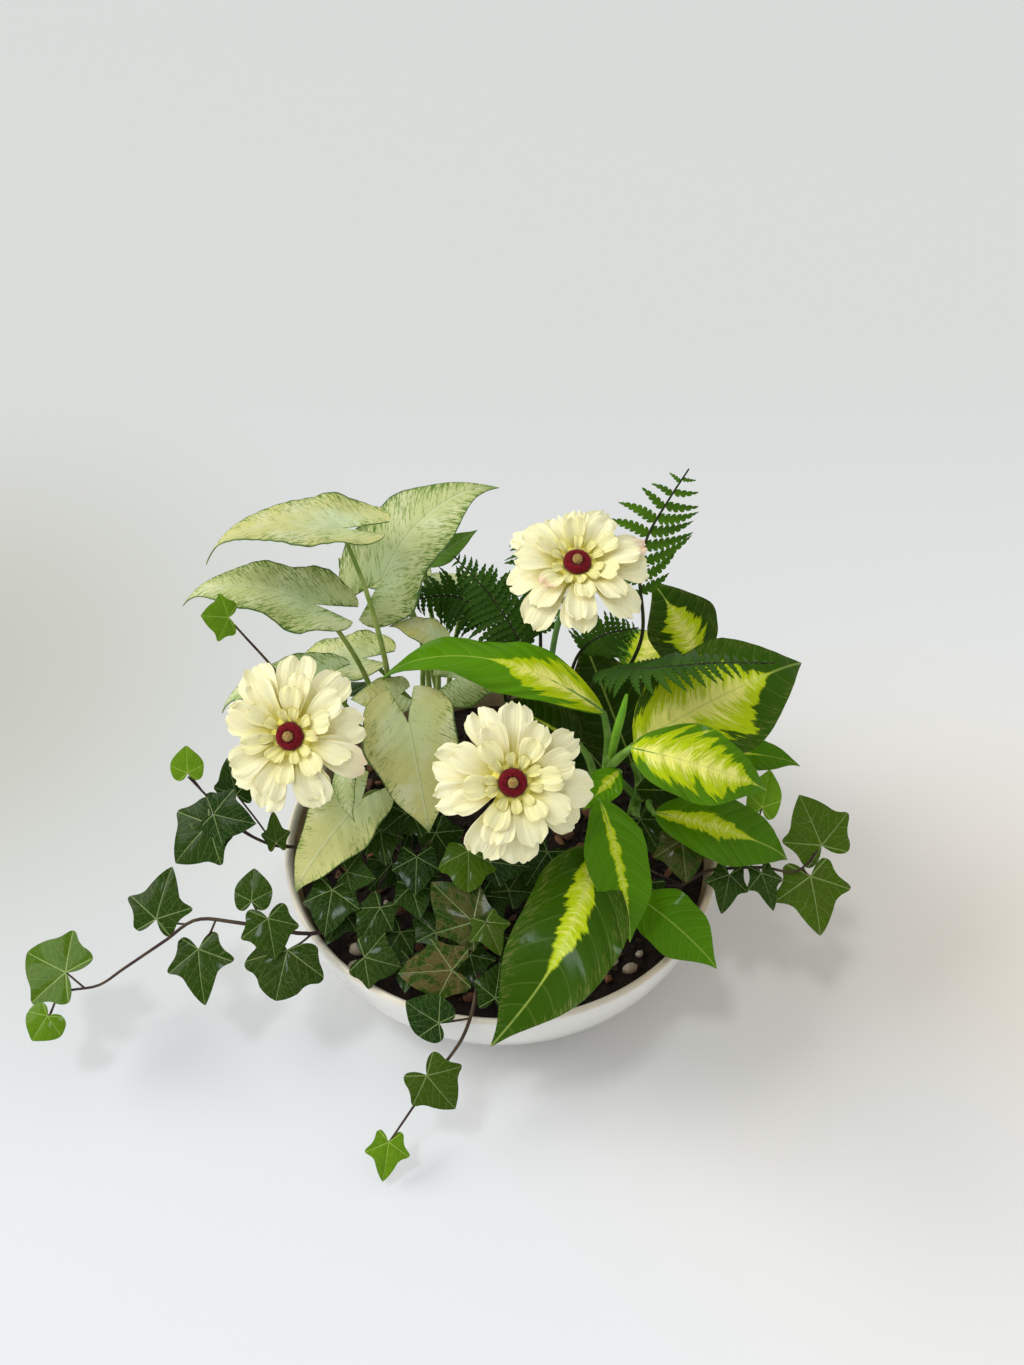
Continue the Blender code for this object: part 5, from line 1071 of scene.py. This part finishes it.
for n, (key, (foot, places, centre, facing, turn, size)) in enumerate(FLOWERS.items()):
    rng = random.Random(4400 + n)
    place = bloom_frame(centre, facing, turn)
    piece = Piece()
    lathe(piece, place, ((0.0, 0.2), (6.0, 0.2), (9.0, 1.6), (11.0, 4.0), (10.8, 5.6), (9.6, 6.4), (7.5, 6.6), (7.2, 5.8), (0.0, 5.6)),
          40, 0, (0.0, 1.0, 3.0))
    for count, length, width, lift, radius, root, offset, yellow in LAYERS:
        for k in range(count):
            spin = Matrix.Rotation(math.radians(360.0 * k / count + offset + rng.uniform(-8, 8)), 4, "Z")
            petal(piece, place @ spin, length * size * rng.uniform(0.93, 1.06), width * rng.uniform(0.9, 1.12),
                  lift + rng.uniform(-7, 7), radius, root, yellow, rng)
    piece.make("bloom_" + key + "_petals", [PETAL], "petal", "bloom_" + key)

    disc = Piece()
    lathe(disc, place, ((0.0, 6.4), (6.6, 6.4), (7.3, 7.6), (7.1, 8.9), (6.3, 10.0), (4.8, 10.5), (3.3, 10.2), (3.0, 8.0), (0.0, 8.0)),
          32, 0, lump=0.35)
    bristles(disc, place, 600, 7.1, 3.0, 7.4, 1.0, 0.15, rng)
    disc.make("disc_" + key + "_flock", [RED], "flower_disc", "bloom_disc_" + key)
    tuft = Piece()
    lathe(tuft, place, ((0.0, 8.4), (2.6, 8.4), (2.7, 10.4), (2.4, 11.7), (1.6, 12.5), (0.5, 12.8), (0.0, 12.8)), 20, 0, lump=0.3)
    bristles(tuft, place, 140, 2.6, 2.2, 10.2, 1.2, 0.18, rng)
    tuft.make("tuft_" + key + "_flock", [TAN], "flower_tuft", "bloom_tuft_" + key)

    stem = Piece()
    under = [place @ (Vector((0, 0, h)) * MM) for h in (-16.0, -11.0, -7.0, -3.5, -1.2, -0.3)]
    line = rooted(foot, list(places) + [tuple(under[0] / MM)], 30) + under[1:]
    radii = [1.7] * (len(line) - 5) + [1.9, 2.6, 4.4, 6.2, 6.8]
    stem.tube(line, radii, 12, 0)
    stem.make("stem_" + key + "_green", [WIRE_STEM], "flower_stem", "flower_stem_" + key)


# Bowl and soil

RIM_RADIUS, BOWL_HEIGHT, FOOT_RADIUS, BOWL_WALL, BOWL_FLOOR = 130.0, 75.0, 62.0, 4.5, 6.0
LEVELS = [BOWL_FLOOR + (BOWL_HEIGHT - 2.4 - BOWL_FLOOR) * t for t in (0.0, 0.05, 0.2, 0.48, 1.0)]


def bowl_outer(z):
    return FOOT_RADIUS + (RIM_RADIUS - FOOT_RADIUS) * math.sqrt(max(0.0, 1 - ((BOWL_HEIGHT - z) / BOWL_HEIGHT) ** 2))


def inner_wall(z):
    for low, high in zip(LEVELS, LEVELS[1:]):
        if z <= high:
            t = max(0.0, (z - low) / (high - low))
            return (bowl_outer(max(low - 1.5, 0)) * (1 - t) + bowl_outer(max(high - 1.5, 0)) * t) - BOWL_WALL
    return bowl_outer(z - 1.5) - BOWL_WALL


profile = [(0.0, BOWL_FLOOR, 2.0)] + [(inner_wall(z), z, 2.0) for z in LEVELS[:3]]
profile += [(inner_wall(z), z, 2.0) for z in (38.0, 52.0, 60.0, 66.0, 69.0)]
profile += [(RIM_RADIUS - 4.5, 71.5, 1.3), (RIM_RADIUS - 3.9, 73.6, 1.0), (RIM_RADIUS - 2.6, 74.8, 1.0),
            (RIM_RADIUS - 1.6, 75.0, 1.0), (RIM_RADIUS - 0.6, 74.4, 1.0), (RIM_RADIUS - 0.1, 73.2, 0.7), (RIM_RADIUS, 71.6, 0.0)]
profile += [(bowl_outer(BOWL_HEIGHT * t), BOWL_HEIGHT * t, 0.0) for t in (0.85, 0.7, 0.55, 0.42, 0.3, 0.2, 0.12, 0.06, 0.025)]
profile += [(FOOT_RADIUS - 0.5, 0.4, 0.0), (FOOT_RADIUS - 3.0, 0.0, 0.0), (0.0, 0.0, 0.0)]
bowl = Piece()
lathe(bowl, Matrix.Identity(4), [(r, z) for r, z, _ in profile], 160, 0, zones=[zone for _, _, zone in profile])
bowl.make("bowl_glazed", [glaze_material()], "glazed_bowl", "bowl")

SOIL_TOP, SOIL_MOUND = 61.0, 4.0


def soil_height(x, y):
    r = math.hypot(x, y) / 118.0
    lump = noise.noise(Vector((x / 17.0, y / 17.0, 0.3))) * 2.2
    return SOIL_TOP + SOIL_MOUND * (1 - r * r) + lump * (1 - min(r, 1.0) ** 6)


soil = Piece()
rings, spokes = 60, 180
rim = inner_wall(SOIL_TOP) - 0.6
verts, faces = [vec((0, 0, soil_height(0, 0)))], []
for i in range(1, rings + 1):
    for k in range(spokes):
        a = 2 * math.pi * k / spokes
        r = rim * i / rings
        x, y = r * math.cos(a), r * math.sin(a)
        grit = noise.noise(Vector((x / 3.4, y / 3.4, 5.0))) * 1.1 + noise.noise(Vector((x / 1.5, y / 1.5, 9.0))) * 0.6
        verts.append(vec((x, y, soil_height(x, y) + grit)))
for z in (38.0, LEVELS[2], BOWL_FLOOR + 1.0):
    for k in range(spokes):
        a = 2 * math.pi * k / spokes
        r = inner_wall(z) - 1.0
        verts.append(vec((r * math.cos(a), r * math.sin(a), z)))
faces += [(0, 1 + k, 1 + (k + 1) % spokes) for k in range(spokes)]
for i in range(rings + 2):
    a, b = 1 + i * spokes, 1 + (i + 1) * spokes
    faces += [(a + k, b + k, b + (k + 1) % spokes, a + (k + 1) % spokes) for k in range(spokes)]
last = 1 + (rings + 2) * spokes
faces.append(tuple(reversed(range(last, last + spokes))))
soil.add(verts, faces, 0)
soil.make("soil_mix", [soil_material()], "soil", "soil")


def lumps(name, mat, places, sizes, seed, flat, rough=0.35):
    """Irregular bits that lie half in the soil."""
    rng = random.Random(seed)
    piece = Piece()
    for place in places:
        x, y = place[:2]
        size = rng.uniform(*sizes) if len(place) < 3 else place[2]
        scale = Vector((size, size * rng.uniform(0.5, 0.9), size * rng.uniform(*flat)))
        turn = (Matrix.Rotation(rng.uniform(0, 6.28), 4, "Z") @ Matrix.Rotation(rng.uniform(-0.5, 0.5), 4, "X")
                @ Matrix.Rotation(rng.uniform(-0.5, 0.5), 4, "Y"))
        middle = Matrix.Translation(vec((x, y, soil_height(x, y) + scale.z * 0.25)))
        verts, faces = [], []
        stacks, around = 5, 8
        for i in range(1, stacks):
            lat = math.pi * i / stacks
            for k in range(around):
                a = 2 * math.pi * k / around
                p = Vector((math.sin(lat) * math.cos(a), math.sin(lat) * math.sin(a), math.cos(lat)))
                p *= 1.0 + rng.uniform(-rough, rough) * 0.5
                verts.append(p)
        verts += [Vector((0, 0, 1)), Vector((0, 0, -1))]
        north, south = len(verts) - 2, len(verts) - 1
        for k in range(around):
            n = (k + 1) % around
            faces.append((north, k, n))
            base = (stacks - 2) * around
            faces.append((south, base + n, base + k))
            for i in range(stacks - 2):
                a, b = i * around, (i + 1) * around
                faces.append((a + k, b + k, b + n, a + n))
        whole = middle @ turn
        piece.add([whole @ (Vector((p.x * scale.x, p.y * scale.y, p.z * scale.z)) * MM / 2) for p in verts], faces, 0,
                  None, (rng.random() * 0.8, 0.0, 0.0))
    piece.make(name, [mat], "soil")


def scattered(count, seed, outer=112.0):
    rng = random.Random(seed)
    out = []
    while len(out) < count:
        x, y = rng.uniform(-outer, outer), rng.uniform(-outer, outer)
        if math.hypot(x, y) < outer:
            out.append((x, y))
    return out


lumps("soil_crumbs", lump_material("soil_crumb", (0.030, 0.016, 0.010), (0.055, 0.030, 0.016), (0.010, 0.006, 0.004), 0.9),
      scattered(900, 51), (2.0, 4.6), 51, (0.5, 0.9), 0.5)
lumps("bark_chips", lump_material("bark_chip", (0.16, 0.060, 0.028), (0.26, 0.12, 0.05), (0.05, 0.020, 0.012), 0.75),
      scattered(110, 52), (5.0, 12.0), 52, (0.25, 0.5), 0.5)
PEBBLES = ((-82, -76, 9.0), (-83, -85, 7.0), (38, -110, 10.0), (72, -88, 9.0), (63, -84, 7.0), (-60, -72, 6.0),
           (84, -44, 8.0), (48, -100, 6.0), (78, -78, 6.0))
lumps("pebbles", lump_material("pebble", (0.46, 0.37, 0.27), (0.58, 0.50, 0.40), (0.30, 0.22, 0.15), 0.7),
      list(PEBBLES) + scattered(24, 53), (3.0, 6.0), 53, (0.6, 0.9), 0.25)


# Floor, light and camera

def stage_scene():
    mesh = bpy.data.meshes.new("floor")
    mesh.from_pydata([(-6, -6, 0), (6, -6, 0), (6, 6, 0), (-6, 6, 0)], [], [(0, 1, 2, 3)])
    net = Net("pale_floor", 0.55, 0.0, 0.3, 0.3)
    spot = net.tree.nodes.new("ShaderNodeSeparateXYZ")
    net.tree.links.new(net.position(), spot.inputs[0])
    # Painted shade: the floor colour darkens towards the back.
    far = net.step(spot.outputs[1], -0.35, 0.75)
    base = net.mix(far, (0.80, 0.81, 0.82), (0.655, 0.655, 0.625))
    # Painted shade on the floor: a warm painted shadow to the right of the bowl, painted shade along the left edge and
    # a painted shadow in front to the right.
    for (x, y), radius, share, colour in (((0.30, -0.06), 0.40, 0.60, (0.86, 0.74, 0.57)),
                                          ((-0.48, 0.20), 0.47, 1.00, (0.52, 0.51, 0.43)),
                                          ((0.25, -0.17), 0.14, 0.50, (0.66, 0.68, 0.69))):
        dx = net.math("SUBTRACT", spot.outputs[0], x)
        dy = net.math("SUBTRACT", spot.outputs[1], y)
        ring = net.math("SQRT", net.math("ADD", net.math("MULTIPLY", dx, dx), net.math("MULTIPLY", dy, dy)))
        base = net.mix(net.math("MULTIPLY", net.step(ring, radius, 0.0), share), base, colour)
    net.finish(base)
    mesh.materials.append(net.mat)
    floor = bpy.data.objects.new("floor", mesh)
    bpy.context.scene.collection.objects.link(floor)

    world = bpy.data.worlds.new("studio")
    bpy.context.scene.world = world
    world.use_nodes = True
    world.node_tree.nodes["Background"].inputs[0].default_value = (0.93, 0.96, 1.0, 1.0)
    world.node_tree.nodes["Background"].inputs[1].default_value = 0.655

    for name, energy, angle, direction, colour in (("soft", 1.88, 40.0, (-1.0, 0.12, 0.72), (1.0, 0.985, 0.96)),
                                                   ("window", 0.44, 8.0, (-0.25, -0.20, 0.95), (0.88, 0.95, 1.0))):
        light = bpy.data.lights.new(name, "SUN")
        light.energy = energy
        light.angle = math.radians(angle)
        light.color = colour
        holder = bpy.data.objects.new(name, light)
        holder.rotation_euler = Vector(direction).to_track_quat("Z", "Y").to_euler()
        bpy.context.scene.collection.objects.link(holder)

    camera = bpy.data.cameras.new("camera")
    camera.sensor_fit = "VERTICAL"
    camera.sensor_height = 36.0
    camera.lens = 35.0
    holder = bpy.data.objects.new("camera", camera)
    holder.location = (0.006, -0.511, 0.694)
    holder.rotation_euler = (math.radians(46.0), 0.0, 0.0)
    bpy.context.scene.collection.objects.link(holder)
    bpy.context.scene.camera = holder
    bpy.context.scene.view_settings.view_transform = "Standard"


stage_scene()
